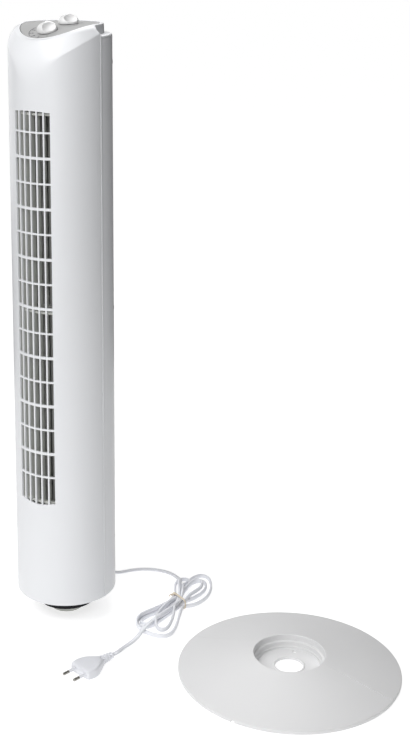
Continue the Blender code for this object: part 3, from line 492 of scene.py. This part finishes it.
def cord_piece(route, lead_length, tail_length):
    """Flat two-core cord: flat on the floor, on its edge in the hank."""
    bm = bmesh.new()
    sides = 18
    lengths = [0.0]
    for a, b in zip(route, route[1:]):
        lengths.append(lengths[-1] + (b - a).length)
    total = lengths[-1]
    rings = []
    for i, p in enumerate(route):
        ahead = (route[min(i + 1, len(route) - 1)] - route[max(i - 1, 0)]).normalized()
        side = ahead.cross(Vector((0.0, 0.0, 1.0)))
        if side.length < 0.2:
            side = rings[-1][1] if rings else Vector((1.0, 0.0, 0.0))
        side = side.normalized()
        upward = side.cross(ahead).normalized()
        turn = smoothstep(lead_length - 0.030, lead_length + 0.020, lengths[i])
        turn *= 1.0 - smoothstep(total - tail_length - 0.020, total - tail_length + 0.030,
                                 lengths[i])
        a = math.pi / 2 * turn
        wide = side * math.cos(a) + upward * math.sin(a)
        thin = upward * math.cos(a) - side * math.sin(a)
        ring = []
        for k in range(sides):
            t = 2 * math.pi * k / sides
            c, s = math.cos(t), math.sin(t)
            c = math.copysign(abs(c) ** 0.85, c)
            s = math.copysign(abs(s) ** 0.75, s)
            groove = 1.0 - 0.10 * math.exp(-(c / 0.22) ** 2)
            ring.append(bm.verts.new(p + wide * (c * CORD_WIDE / 2)
                                     + thin * (s * groove * CORD_THICK / 2)))
        rings.append((ring, side))
    for (first, _), (second, _) in zip(rings, rings[1:]):
        for k in range(sides):
            j = (k + 1) % sides
            bm.faces.new((first[k], first[j], second[j], second[k]))
    bm.faces.new(rings[0][0][::-1])
    bm.faces.new(rings[-1][0])
    bmesh.ops.recalc_face_normals(bm, faces=bm.faces[:])
    return piece("mains_cord", bm, CORD,
                 replaces=("cord_lead", "cord_hank", "cord_tail"), sharp=60.0)


def tube(bm, points, radius, sides=10):
    """Add a round tube along points to a bmesh; radius is a number or a function of 0 to 1."""
    rings = []
    side = None
    for i, p in enumerate(points):
        ahead = (points[min(i + 1, len(points) - 1)] - points[max(i - 1, 0)]).normalized()
        if side is None:
            side = ahead.orthogonal().normalized()
        side = (side - ahead * side.dot(ahead)).normalized()
        other = ahead.cross(side)
        r = radius(i / (len(points) - 1)) if callable(radius) else radius
        rings.append([bm.verts.new(p + (side * math.cos(2 * math.pi * k / sides)
                                        + other * math.sin(2 * math.pi * k / sides)) * r)
                      for k in range(sides)])
    for first, second in zip(rings, rings[1:]):
        for k in range(sides):
            j = (k + 1) % sides
            bm.faces.new((first[k], first[j], second[j], second[k]))
    bm.faces.new(rings[0][::-1])
    bm.faces.new(rings[-1])


def tie_piece():
    """Paper-covered wire tie: a snug loop round the waist and two twisted ends."""
    bm = bmesh.new()
    low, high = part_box("cord_tie")
    x0, x1 = low.x + 0.0012, high.x - 0.0012
    z0, z1 = max(low.z, 0.0) + 0.0010, high.z - 0.0010
    corner = 0.0045
    loop = []
    for cx, cz, first in ((x1 - corner, z1 - corner, 0.0), (x0 + corner, z1 - corner, 90.0),
                          (x0 + corner, z0 + corner, 180.0), (x1 - corner, z0 + corner, 270.0)):
        for i in range(7):
            a = math.radians(first + 90.0 * i / 6)
            loop.append(Vector((cx + corner * math.cos(a),
                                WAIST_Y, cz + corner * math.sin(a))))
    for p in loop:
        p.y += (p.x - WAIST_X) * WAIST_SLANT
    half_wide, half_thick = 0.0016, 0.0005
    rings = []
    for i, p in enumerate(loop):
        ahead = (loop[(i + 1) % len(loop)] - loop[i - 1]).normalized()
        across = Vector((0.0, 1.0, 0.0))
        out = across.cross(ahead).normalized()
        rings.append([bm.verts.new(p + across * (half_wide * math.cos(t))
                                   + out * (half_thick * math.sin(t)))
                      for t in [2 * math.pi * k / 10 for k in range(10)]])
    for i, first in enumerate(rings):
        second = rings[(i + 1) % len(rings)]
        for k in range(10):
            j = (k + 1) % 10
            bm.faces.new((first[k], first[j], second[j], second[k]))
    root = Vector((x0 + 0.008, WAIST_Y + 0.0030, z1 - 0.0002))
    for start in (0.0, math.pi):
        points = []
        for i in range(26):
            t = i / 25
            swing = start + 4.2 * math.pi * t
            spread = 0.0008 * (1.0 - 0.3 * t) + (0.0018 * max(0.0, t - 0.85) / 0.15)
            points.append(root + Vector((-0.0075 * t + spread * math.cos(swing) * 0.3,
                                         -0.0040 * t + spread * math.cos(swing),
                                         -0.0020 * t * t + spread * math.sin(swing))))
        tube(bm, points, 0.00062, 8)
    bmesh.ops.recalc_face_normals(bm, faces=bm.faces[:])
    return piece("wire_tie", bm, TIE, replaces=("cord_tie",), sharp=60.0)


PLUG_FRAME = (Matrix.Translation(PLUG_FRONT)
              @ PLUG_DIR.to_track_quat("Y", "Z").to_matrix().to_4x4())


def plug_piece():
    """Flat plug: bevelled nose, waisted grip and a ribbed strain relief."""
    rings = [(0.0000, 0.88, 0.78), (0.0006, 0.91, 0.87), (0.0020, 0.935, 0.94),
             (0.0060, 0.970, 0.99), (0.0095, 1.00, 1.00), (0.0115, 1.00, 1.00),
             (0.0150, 0.955, 1.00), (0.0200, 0.83, 1.00), (0.0250, 0.69, 0.97),
             (0.0300, 0.54, 0.88), (0.0335, 0.44, 0.78), (0.0350, 0.36, 0.68)]
    ribs = 4
    for i in range(ribs):
        y = PLUG_LENGTH + RELIEF_LENGTH * (i + 0.5) / ribs
        tall = 1.0 - 0.09 * i
        for step, wide, thick in ((-0.0020, 0.21, 0.52), (-0.0014, 0.31, 0.78),
                                  (0.0006, 0.31, 0.78), (0.0012, 0.21, 0.52)):
            rings.append((y + step, wide * tall, thick * tall))
    rings.append((PLUG_LENGTH + RELIEF_LENGTH, 0.152, 0.26))
    bm = bmesh.new()
    sides = 40
    loops = []
    for y, wide, thick in rings:
        power = mix(0.34, 0.75, smoothstep(0.020, 0.036, y))
        loop = []
        for k in range(sides):
            a = 2 * math.pi * (k + 0.5) / sides
            c, s = math.cos(a), math.sin(a)
            c = math.copysign(abs(c) ** power, c)
            s = math.copysign(abs(s) ** power, s)
            loop.append(bm.verts.new((c * PLUG_WIDTH / 2 * wide, -y,
                                      s * PLUG_THICK / 2 * thick)))
        loops.append(loop)
    for first, second in zip(loops, loops[1:]):
        for k in range(sides):
            j = (k + 1) % sides
            bm.faces.new((first[k], first[j], second[j], second[k]))
    bm.faces.new(loops[0])
    bm.faces.new(loops[-1][::-1])
    bm.transform(PLUG_FRAME)
    bmesh.ops.recalc_face_normals(bm, faces=bm.faces[:])
    return piece("plug", bm, CORD, replaces=("plug_body",), sharp=50.0)


def pin_piece(number, side):
    """Round pin with a moulded sleeve on its inner half."""
    sleeve = [(0.0, 0.0003), (0.0020, 0.0003), (0.0020, 0.0096), (0.0019, 0.0100)]
    tip = [(0.0019, 0.0101), (0.0019, 0.0172), (0.0016, 0.0184), (0.0009, 0.0190), (0.0, 0.0190)]
    bm = lathe(sleeve + tip, 28)
    for face in bm.faces:
        if face.calc_center_median().z > 0.01005:
            face.material_index = 1
    along = Matrix.Translation((side * 0.0093, 0.0, 0.0))
    bm.transform(PLUG_FRAME @ along @ Matrix.Rotation(math.radians(-90.0), 4, "X"))
    bmesh.ops.recalc_face_normals(bm, faces=bm.faces[:])
    return piece(f"pin_{number}", bm, [CORD, NICKEL],
                 replaces=(f"plug_pin_{number}",))


def relief_piece(route):
    """Tapered, ribbed sleeve where the cord leaves the housing."""
    bm = bmesh.new()
    points = route[:7]
    fine = smooth_route(points, 0.0007)
    tube(bm, fine, lambda t: mix(0.0042, 0.0031, t) - 0.00045 * (math.sin(t * 34.0) > 0.35), 20)
    bmesh.ops.recalc_face_normals(bm, faces=bm.faces[:])
    return piece("strain_relief", bm, CORD, sharp=50.0)


def make_cord():
    route = cord_route()
    cord = cord_piece(route, LEAD_LENGTH, TAIL_LENGTH)
    with_pieces = [tie_piece(), plug_piece(), pin_piece(1, 1), pin_piece(2, -1),
                   relief_piece(route)]


LEAD_LENGTH, TAIL_LENGTH = 0.205, 0.120      # stretches that lie flat, outside the hank
make_cord()

# -------------------------------------------------------------- housing shells
WALL = 0.0022
SEAM_ANGLE = 84.5
GRILLE_COLUMNS, GRILLE_ROWS = 6, 16
COLUMN_PITCH, WINDOW_ANGLE = 8.28, 6.5
BAR_TOP_Z, BAR_PITCH = 0.6492, 0.03166
BAR_THIN, BAR_THICK = 0.0021, 0.0032
GRILLE_TOP_Z, GRILLE_TOP_DROP = 0.6755, 0.0015
GRILLE_LOW_Z, GRILLE_LOW_RISE = 0.1676, 0.0028
LEDGE_Z = 0.7648
LIP_R, LIP_Z = 0.0580, 0.7735
BLOCK_SETBACK = 0.0035       # the block behind the crown is this much narrower
RIM_R, RIM_Z = 0.0500, 0.7778
PANEL_R, PANEL_MIDDLE_Z = 0.0489, 0.7735
COLUMN_STEP, FINE_STEP = 2.4, 0.9    # degrees between columns, and close to the seams
FINE_FROM, FINE_TO = 78.0, 92.0
SEAM_RAISE = 0.0006                  # the rear shell's edge stands this proud


def folded(angle):
    return (angle + 180.0) % 360.0 - 180.0


def backness(angle):
    """0 on the front half, 1 behind, with a short ramp at the seam."""
    return smoothstep(84.0, 87.5, abs(folded(angle)))


def crease_z(angle):
    """Height where the crown's chamfer meets the round wall: low at the front."""
    a = min(abs(angle), SEAM_ANGLE)
    a = math.hypot(a, 8.0) - 8.0 * (1.0 - a / SEAM_ANGLE)
    return 0.7195 + 0.00080 * a - 0.0000027 * a * a


def frontness(angle):
    return max(0.0, math.cos(math.radians(angle)))


def lip(angle):
    radius = LIP_R - 0.0055 * frontness(angle) ** 2 - BLOCK_SETBACK * backness(angle)
    return radius, LIP_Z - 0.0175 * frontness(angle) ** 3


def rim(angle):
    return RIM_R, RIM_Z - 0.0150 * frontness(angle) ** 2


def bend(before, corner, after, reach, steps):
    """Points of a rounded corner; reach is how far the curve starts from it."""
    b, c, a = Vector(before), Vector(corner), Vector(after)
    first = c + (b - c).normalized() * min(reach, (b - c).length * 0.9)
    last = c + (a - c).normalized() * min(reach, (a - c).length * 0.9)
    out = []
    for i in range(steps + 1):
        t = i / steps
        p = first * (1 - t) ** 2 + c * 2 * t * (1 - t) + last * t ** 2
        out.append((p.x, p.y))
    return out


def crown_line(angle):
    """Outer line of the crown in section, from the wall to the rim's inner edge."""
    signed = folded(angle)
    back = backness(angle)
    lip_r, lip_z = lip(angle)
    rim_r, rim_z = rim(angle)
    low = crease_z(signed)
    facet = (mix(TOWER_R, lip_r, 0.53), mix(low, lip_z, 0.57))
    soft = 0.0014 + 0.0160 * (1.0 - smoothstep(6.0, 38.0, abs(signed)))
    front = bend((TOWER_R, low - 0.03), (TOWER_R, low), facet, soft, 6)
    reach = min(0.006, 0.45 * math.dist(facet, (lip_r, lip_z)))
    front += bend(front[-1], facet, (lip_r, lip_z), reach, 4)
    front += bend(facet, (lip_r, lip_z), (rim_r, rim_z), 0.0022, 4)
    front += bend((lip_r, lip_z), (rim_r, rim_z), (rim_r - 0.0010, rim_z - 0.0030), 0.0010, 4)
    wall_r = lip_r + 0.0006
    behind = bend((TOWER_R, 0.70), (TOWER_R, LEDGE_Z), (wall_r, LEDGE_Z + 0.0004), 0.0030, 6)
    behind += bend(behind[-1], (wall_r, LEDGE_Z + 0.0004), (wall_r - 0.0006, RIM_Z), 0.0007, 4)
    behind += bend((wall_r, LEDGE_Z), (wall_r - 0.0006, RIM_Z - 0.0002), (rim_r, RIM_Z), 0.0012, 4)
    behind += bend((wall_r, RIM_Z - 0.0002), (rim_r, RIM_Z), (rim_r - 0.0010, RIM_Z - 0.0030),
                   0.0008, 4)
    return [(mix(f[0], b[0], back), mix(f[1], b[1], back)) for f, b in zip(front, behind)]


CROWN_ROWS = len(crown_line(0.0))


def inner_of(line, wall):
    """The same line moved to the inside of the wall."""
    out = []
    pts = [Vector(p) for p in line]
    for i, p in enumerate(pts):
        ahead = pts[min(i + 1, len(pts) - 1)] - pts[max(i - 1, 0)]
        if ahead.length < 1e-7:
            ahead = Vector((0.0, 1.0))
        normal = Vector((-ahead.y, ahead.x)).normalized()
        out.append((p.x + normal.x * wall, p.y + normal.y * wall))
    return out


def grid_shell(columns, closed, is_solid):
    """Two-sided wall from columns of (outer point, inner point); is_solid picks its cells."""
    bm = bmesh.new()
    count = len(columns)
    rows = len(columns[0])
    outer = [[None] * rows for _ in range(count)]
    inner = [[None] * rows for _ in range(count)]
    cells = count if closed else count - 1

    def solid(i, j):
        if closed:
            i %= count
        return 0 <= i < cells and 0 <= j < rows - 1 and is_solid(i, j)

    def corner(table, which, p, q):
        p %= count
        if table[p][q] is None:
            table[p][q] = bm.verts.new(columns[p][q][which])
        return table[p][q]

    for i in range(cells):
        for j in range(rows - 1):
            if not solid(i, j):
                continue
            at = ((i, j), (i + 1, j), (i + 1, j + 1), (i, j + 1))
            bm.faces.new([corner(outer, 0, p, q) for p, q in at])
            bm.faces.new([corner(inner, 1, p, q) for p, q in reversed(at)])
            for (p, q), (r, s), beside in ((at[0], at[1], (i, j - 1)), (at[1], at[2], (i + 1, j)),
                                           (at[2], at[3], (i, j + 1)), (at[3], at[0], (i - 1, j))):
                if not solid(*beside):
                    bm.faces.new((corner(outer, 0, r, s), corner(outer, 0, p, q),
                                  corner(inner, 1, p, q), corner(inner, 1, r, s)))
    bmesh.ops.recalc_face_normals(bm, faces=bm.faces[:])
    return bm


def spread_angles(low, high, step):
    count = max(1, round((high - low) / step))
    return [low + (high - low) * i / count for i in range(count)]


def grille_lines(angle):
    """Row lines of the grille from below upwards, at one plan angle."""
    side = min(1.0, abs(angle) / (COLUMN_PITCH * 2.5)) ** 2
    lines = [GRILLE_LOW_Z + GRILLE_LOW_RISE * side]
    for bar in reversed(range(GRILLE_ROWS - 1)):
        half = (BAR_THIN if bar % 2 == 0 else BAR_THICK) / 2
        middle = BAR_TOP_Z - BAR_PITCH * bar
        lines += [middle - half, middle + half]
    lines.append(GRILLE_TOP_Z - GRILLE_TOP_DROP * side)
    return lines


def make_front():
    """Front shell, grille and crown as one skin."""
    angles, windows = [], set()
    for c in range(GRILLE_COLUMNS):
        middle = (c - (GRILLE_COLUMNS - 1) / 2) * COLUMN_PITCH
        windows |= set(range(len(angles), len(angles) + 4))
        angles += [middle - WINDOW_ANGLE / 2 + WINDOW_ANGLE * i / 4 for i in range(4)]
        angles.append(middle + WINDOW_ANGLE / 2)
    edge = angles[-1]
    left = (spread_angles(-SEAM_ANGLE, -FINE_FROM, FINE_STEP)
            + spread_angles(-FINE_FROM, -edge, COLUMN_STEP))
    windows = {w + len(left) for w in windows}
    angles = left + angles + [-a for a in reversed(left[1:])] + [SEAM_ANGLE]
    front_columns = len(angles) - 1
    angles += spread_angles(SEAM_ANGLE, FINE_TO, FINE_STEP)[1:]
    angles += spread_angles(FINE_TO, 360.0 - FINE_TO, COLUMN_STEP)
    angles += spread_angles(360.0 - FINE_TO, 360.0 - SEAM_ANGLE, FINE_STEP)

    columns = []
    for a in angles:
        line = crown_line(a)
        start = line[0][1]
        lines = grille_lines(folded(a))
        below = [BODY_BOTTOM, BODY_BOTTOM + 0.0006, BODY_BOTTOM + 0.0018]
        below += [mix(BODY_BOTTOM + 0.0018, lines[0], 0.5)]
        above = [mix(lines[-1], start, t) for t in (0.25, 0.5, 0.75)]
        heights = below + lines + above
        radii = [TOWER_R - 0.0008, TOWER_R - 0.0002] + [TOWER_R] * (len(heights) - 2)
        outer = [(r, z) for r, z in zip(radii, heights)] + line
        inner = [(TOWER_R - WALL, z) for z in heights] + inner_of(line, WALL)
        inner = [(min(r, TOWER_R - WALL), z) for r, z in inner]
        columns.append([(polar(o[0], a, o[1]), polar(n[0], a, n[1]))
                        for o, n in zip(outer, inner)])
    first_row = 4
    last_row = first_row + 2 * GRILLE_ROWS - 2
    crown_start = len(columns[0]) - CROWN_ROWS

    def is_solid(i, j):
        if j >= crown_start:
            return True
        if i >= front_columns:
            return False
        return not (i in windows and first_row <= j <= last_row and (j - first_row) % 2 == 0)

    bm = grid_shell(columns, True, is_solid)
    obj = piece("front_housing", bm, SHELL,
                replaces=("front_shell", "crown"), sharp=40.0)
    return bevel(obj, 0.00045, 2)


INTAKE_COLUMNS, INTAKE_ROWS = 4, 13
INTAKE_PITCH, INTAKE_ANGLE = 23.5, 19.5
INTAKE_LOW_Z, INTAKE_ROW_PITCH, INTAKE_SLOT = 0.1720, 0.0390, 0.0290
LOUVRES, LOUVRE_BAR = 5, 0.0018      # fine slots in one intake block, and the bar between
SCREW_ANGLE, SCREW_HEIGHTS = 119.5, (0.100, 0.4135, 0.730)


def outward(angle, z, radius=0.0):
    direction = polar(1.0, angle, 0.0)
    return (Matrix.Translation(polar(radius, angle, z))
            @ direction.to_track_quat("Z", "X").to_matrix().to_4x4())


def make_rear():
    """Rear shell with its fine intake louvres, screw wells and cord hole."""
    gap = math.degrees(0.0003 / TOWER_R)
    first_slot = 180.0 - (INTAKE_COLUMNS - 1) / 2 * INTAKE_PITCH - INTAKE_ANGLE / 2
    side = (spread_angles(SEAM_ANGLE + gap, FINE_TO, FINE_STEP)
            + spread_angles(FINE_TO, first_slot, COLUMN_STEP))
    angles = list(side)
    slots = set()
    for c in range(INTAKE_COLUMNS):
        middle = 180.0 + (c - (INTAKE_COLUMNS - 1) / 2) * INTAKE_PITCH
        slots |= set(range(len(angles), len(angles) + 8))
        angles += [middle - INTAKE_ANGLE / 2 + INTAKE_ANGLE * i / 8 for i in range(8)]
        angles.append(middle + INTAKE_ANGLE / 2)
    angles += [360.0 - a for a in reversed(side)]
    opening = (INTAKE_SLOT - LOUVRE_BAR * (LOUVRES - 1)) / LOUVRES
    lines, open_rows = [], set()
    for row in range(INTAKE_ROWS):
        z = INTAKE_LOW_Z + row * INTAKE_ROW_PITCH
        for _ in range(LOUVRES):
            open_rows.add(len(lines) + 4)
            lines += [z, z + opening]
            z += opening + LOUVRE_BAR
    columns = []
    for a in angles:
        low = [BODY_BOTTOM, BODY_BOTTOM + 0.0006, BODY_BOTTOM + 0.0018, 0.100]
        top = crown_line(a)[0][1] - 0.0003
        heights = low + lines + [mix(lines[-1], top, t) for t in (0.35, 0.7)] + [top]
        radii = [TOWER_R - 0.0008, TOWER_R - 0.0002] + [TOWER_R] * (len(heights) - 2)
        beyond = abs(folded(a)) - SEAM_ANGLE
        proud = SEAM_RAISE * (1.0 - smoothstep(0.8, 4.5, beyond))
        columns.append([(polar(r + proud, a, z), polar(TOWER_R - WALL, a, z))
                        for r, z in zip(radii, heights)])

    def is_solid(i, j):
        return not (i in slots and j in open_rows)

    bm = grid_shell(columns, False, is_solid)
    obj = piece("rear_housing", bm, SHELL, replaces=("rear_shell",),
                sharp=40.0)
    wells = []
    for side in (1, -1):
        for z in SCREW_HEIGHTS:
            tool = lathe([(0.0, -0.006), (0.0022, -0.006), (0.0022, 0.0010), (0.0044, 0.0012),
                          (0.0048, 0.006), (0.0, 0.006)], 28)
            tool.transform(outward(side * SCREW_ANGLE, z, TOWER_R - WALL))
            wells.append(tool)
    hole = lathe([(0.0, -0.006), (0.0056, -0.006), (0.0056, 0.006), (0.0, 0.006)], 28)
    hole.transform(outward(CORD_EXIT_ANGLE, CORD_EXIT_Z, TOWER_R - WALL))
    cut_with(obj, wells + [hole])
    return bevel(obj, 0.00035, 1)


make_front()
make_rear()


# --------------------------------------------------------------- control panel
def panel_z(radius, angle):
    """Height of the panel: a shallow dish behind, a steady fall in front."""
    edge = rim(angle)[1] - 0.0006
    t = (radius / PANEL_R) ** (2.0 - 0.9 * frontness(angle))
    return mix(PANEL_MIDDLE_Z, edge, t)


def knob_frame(y, tilt):
    """Matrix at a knob's foot: +Z is the knob's axis, tipped to the front."""
    z = panel_z(abs(y), 0.0 if y < 0 else 180.0) + KNOB_LIFT
    return Matrix.Translation((0.0, y, z)) @ Matrix.Rotation(math.radians(tilt), 4, "X")


SPEED_Y, SPEED_TILT = -0.0255, 14.0
TIMER_Y, TIMER_TILT = 0.0185, 0.0
KNOB_R, KNOB_H = 0.0127, 0.0120
SCOOP_TURN = -32.0           # degrees from a knob's +X to the middle of its first scoop
SCOOP_OUT, SCOOP_UP = 0.0100, 0.0108
SCOOP_SIZE = (0.0076, 0.0110, 0.0086)
KNOB_FOOT = 0.0026           # height of the knob's upright edge, below its dome
POINTER_IN, POINTER_OUT, POINTER_HALF = 0.0066, 0.0108, 0.00035
KNOB_LIFT = 0.0014           # air under a knob
COLLAR_R, COLLAR_FOOT_R, COLLAR_H = 0.0150, 0.0166, 0.0005


def panel_lift(x, y):
    """Shallow raised collar round each knob."""
    lift = 0.0
    for knob_y in (SPEED_Y, TIMER_Y):
        d = math.hypot(x, y - knob_y)
        lift += COLLAR_H * (1.0 - smoothstep(COLLAR_R, COLLAR_FOOT_R, d))
    return lift


def make_panel():
    bm = bmesh.new()
    steps, rings_count = 144, 46
    rings = []
    for k in range(1, rings_count + 1):
        r = PANEL_R * k / rings_count
        ring = []
        for i in range(steps):
            a = 360.0 * i / steps
            p = polar(r, a, panel_z(r, a))
            edge = 0.0002 * smoothstep(PANEL_R - 0.0006, PANEL_R, r)
            p.z += panel_lift(p.x, p.y) - edge
            ring.append(bm.verts.new(p))
        rings.append(ring)
    centre = bm.verts.new((0.0, 0.0, PANEL_MIDDLE_Z + panel_lift(0.0, 0.0)))
    for i in range(steps):
        j = (i + 1) % steps
        bm.faces.new((centre, rings[0][i], rings[0][j]))
        for first, second in zip(rings, rings[1:]):
            bm.faces.new((first[i], second[i], second[j], first[j]))
    skirt = [bm.verts.new(v.co - Vector((0.0, 0.0, 0.0016))) for v in rings[-1]]
    for i in range(steps):
        j = (i + 1) % steps
        bm.faces.new((rings[-1][i], skirt[i], skirt[j], rings[-1][j]))
    bm.faces.new(skirt[::-1])
    bmesh.ops.recalc_face_normals(bm, faces=bm.faces[:])
    return piece("panel", bm, PANEL, replaces=("control_panel",), sharp=40.0)


def mark(bm, centre, shape, lift=0.0003):
    """Lay a flat outline, in knob-plane metres about centre, on the panel."""
    verts = []
    for x, y in shape:
        px, py = centre[0] + x, centre[1] + y
        r, a = math.hypot(px, py), math.degrees(math.atan2(px, -py))
        verts.append(bm.verts.new((px, py, panel_z(r, a) + panel_lift(px, py) + lift)))
    bm.faces.new(verts)


def make_marks():
    """Printed dots, bars and an arc that tell the knobs' positions."""
    bm = bmesh.new()

    def dot(middle, angle, radius, size):
        p = polar(radius, angle, 0.0)
        mark(bm, middle, [(p.x + size * math.cos(t), p.y + size * math.sin(t))
                          for t in [2 * math.pi * k / 14 for k in range(14)]])

    def bar(middle, angle, inner, outer, half):
        d, s = polar(1.0, angle, 0.0), polar(1.0, angle + 90.0, 0.0)
        mark(bm, middle, [((d * r + s * w).x, (d * r + s * w).y)
                          for r, w in ((inner, -half), (outer, -half), (outer, half),
                                       (inner, half))])

    def arc(middle, first, last, radius, half):
        count = 24
        for k in range(count):
            a0, a1 = mix(first, last, k / count), mix(first, last, (k + 1) / count)
            quad = [polar(radius - half, a0, 0), polar(radius + half, a0, 0),
                    polar(radius + half, a1, 0), polar(radius - half, a1, 0)]
            mark(bm, middle, [(p.x, p.y) for p in quad])

    speed, timer = (0.0, SPEED_Y), (0.0, TIMER_Y)
    for k, angle in enumerate((-112.0, -84.0, -56.0, -28.0)):
        dot(speed, angle, 0.0182, 0.00080 + 0.00018 * k)
        bar(speed, angle, 0.0198, 0.0216 + 0.0004 * k, 0.00065)
    arc(speed, -104.0, -36.0, 0.0228, 0.00040)
    bar(speed, 0.0, 0.0176, 0.0205, 0.00080)
    bar(speed, 34.0, 0.0176, 0.0198, 0.00080)
    for k in range(11):
        angle = 30.0 + 30.0 * k
        if math.cos(math.radians(angle)) < 0.72:
            bar(timer, angle, 0.0174, 0.0196, 0.00055)
    bmesh.ops.recalc_face_normals(bm, faces=bm.faces[:])
    return piece("panel_marks", bm, INK)


def ellipsoid(at, size, detail=4):
    bm = bmesh.new()
    bmesh.ops.create_icosphere(bm, subdivisions=detail, radius=1.0,
                               matrix=Matrix.Translation(at) @ Matrix.Diagonal((*size, 1.0)))
    return bm


def make_knob(name, y, tilt, body):
    """Domed knob with a scoop on each side of its grip, and a pointer line along it."""
    place = knob_frame(y, tilt)
    profile = [(0.0, KNOB_H)]
    arcs = 16
    for i in range(1, arcs + 1):
        a = math.radians(90.0 * i / arcs)
        profile.append((KNOB_R * math.sin(a) ** 0.96,
                        KNOB_FOOT + (KNOB_H - KNOB_FOOT) * math.cos(a)))
    profile += [(KNOB_R, 0.0012), (KNOB_R - 0.0004, 0.0004), (KNOB_R - 0.0012, 0.0),
                (0.0036, 0.0), (0.0036, 0.0060), (0.0, 0.0060)]
    bm = lathe(profile[::-1], 72)
    obj = piece(name, bm, KNOB, body=body, replaces=(body,), sharp=40.0)
    turn = Matrix.Rotation(math.radians(SCOOP_TURN), 4, "Z")
    scoops = [ellipsoid((side * SCOOP_OUT, 0.0, SCOOP_UP), SCOOP_SIZE) for side in (1, -1)]
    for scoop in scoops:
        scoop.transform(turn)
    cut_with(obj, scoops)
    obj.data.transform(place)
    obj.data.shade_smooth()
    obj.data.set_sharp_from_angle(angle=math.radians(32.0))
    bevel(obj, 0.0004, 2, 30.0)

    bm = bmesh.new()
    quad = []
    for x, r in ((-POINTER_HALF, POINTER_IN), (POINTER_HALF, POINTER_IN),
                 (POINTER_HALF, POINTER_OUT), (-POINTER_HALF, POINTER_OUT)):
        z = KNOB_FOOT + (KNOB_H - KNOB_FOOT) * math.sqrt(max(0.0, 1 - (r / KNOB_R) ** 2))
        quad.append(bm.verts.new((x, -r, z + 0.00012)))
    bm.faces.new(quad)
    bm.transform(place @ turn)
    bmesh.ops.recalc_face_normals(bm, faces=bm.faces[:])
    piece(f"{name}_line", bm, INK, body=body)
    return obj


make_panel()
make_marks()
make_knob("speed_dial", SPEED_Y, SPEED_TILT, "speed_knob")
make_knob("timer_dial", TIMER_Y, TIMER_TILT, "timer_knob")


# ------------------------------------------------------------------- base disc
def make_base():
    """Two half discs with a rounded rim, a stepped recess and a floor with screw holes."""
    top = rounded([(0.1322, 0.0010), (BASE_R - 0.0002, 0.0012), (BASE_R - 0.0004, 0.0052),
                   (0.0900, 0.0152), (0.0460, 0.0243), (0.0432, 0.0247), (0.0428, 0.0168),
                   (0.0402, 0.0166), (0.0398, 0.0112), (0.0386, 0.0110), (0.0384, 0.0080),
                   (0.0196, 0.0080), (0.0190, 0.0088), (0.0172, 0.0088), (0.0172, 0.0056)],
                  0.0011, 4)
    under = [(0.0405, 0.0056), (0.0425, 0.0130), (0.0455, 0.0215), (0.0900, 0.0128),
             (0.1316, 0.0038)]
    profile = top + under
    half_gap = math.degrees(0.00005 / 0.05)
    for name, start, node_name in (("base_front", -90.0, "base_half_front"),
                                   ("base_rear", 90.0, "base_half_rear")):
        bm = lathe(profile, 96, start + half_gap, 180.0 - 2 * half_gap, BASE_AT)
        if name == "base_rear":
            # The halves don't meet quite level on the right: the rear one stands proud.
            for v in bm.verts:
                side = smoothstep(0.045, 0.060, v.co.x - BASE_AT[0])
                v.co.z += 0.0006 * side * (1.0 - smoothstep(0.0, 0.030, v.co.y - BASE_AT[1]))
        obj = piece(name, bm, BASE_WHITE, body="base",
                    replaces=(node_name,), sharp=40.0)
        if name == "base_front":
            spots = [(-0.0236, -0.0236), (0.0322, -0.0086)]
        else:
            spots = [(-0.0086, 0.0322)]
        tools = []
        for x, y in spots:
            tool = lathe([(0.0, 0.0), (0.0022, 0.0), (0.0022, 0.0072), (0.0034, 0.0082),
                          (0.0034, 0.012), (0.0, 0.012)], 24, at=(BASE_AT[0] + x, BASE_AT[1] + y))
            tools.append(tool)
        if name == "base_front":
            box = bmesh.new()
            bmesh.ops.create_cube(box, size=1.0, matrix=Matrix.Translation(
                (BASE_AT[0] - 0.0040, BASE_AT[1] - 0.1358, 0.0)) @ Matrix.Diagonal(
                (0.0050, 0.0086, 0.0084, 1.0)))
            tools.append(box)
        cut_with(obj, tools)
        obj.data.shade_smooth()
        obj.data.set_sharp_from_angle(angle=math.radians(40.0))
        bevel(obj, 0.00015, 2, 50.0)


make_base()


# ------------------------------------------------------- materials of CAD parts
def paint(names, mat, width=0.0, segments=2):
    for name in names:
        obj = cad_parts[name]
        if obj.hide_render:
            continue
        obj.data.materials.clear()
        obj.data.materials.append(mat)
        if width > 0.0:
            bevel(obj, width, segments, 40.0)


paint(["louvre_comb"], INNER)
paint(["air_guide", "air_tongue", "upper_deck", "motor_deck", "swing_deck"], INNER)
paint(["blower_wheel"], INNER_DARK)
paint(["bottom_plate"], SHELL, 0.0004)
paint(["thrust_washer", "timer_unit", "foot_boss"], INNER, 0.0005)
paint(["foot_disc"], BLACK, 0.0004)
paint(["speed_switch", "run_capacitor"], BLACK, 0.0005)
paint(["top_bearing", "base_pad_1", "base_pad_2", "base_pad_3", "base_pad_4"], RUBBER, 0.0005)
paint(["crank", "drive_plate", "terminal_block"], ACETAL, 0.0003)
paint(["cord_gland"], CORD, 0.0003)
paint(["base_clip_left", "base_clip_right"], BASE_WHITE, 0.0004)
paint(["swing_motor", "motor_housing", "motor_shaft", "hub_coupling", "top_stub",
       "speed_knob_shaft", "timer_knob_shaft", "drive_screw_1", "drive_screw_2"]
      + [f"shell_screw_{n}" for n in range(1, 7)], STEEL, 0.0002)
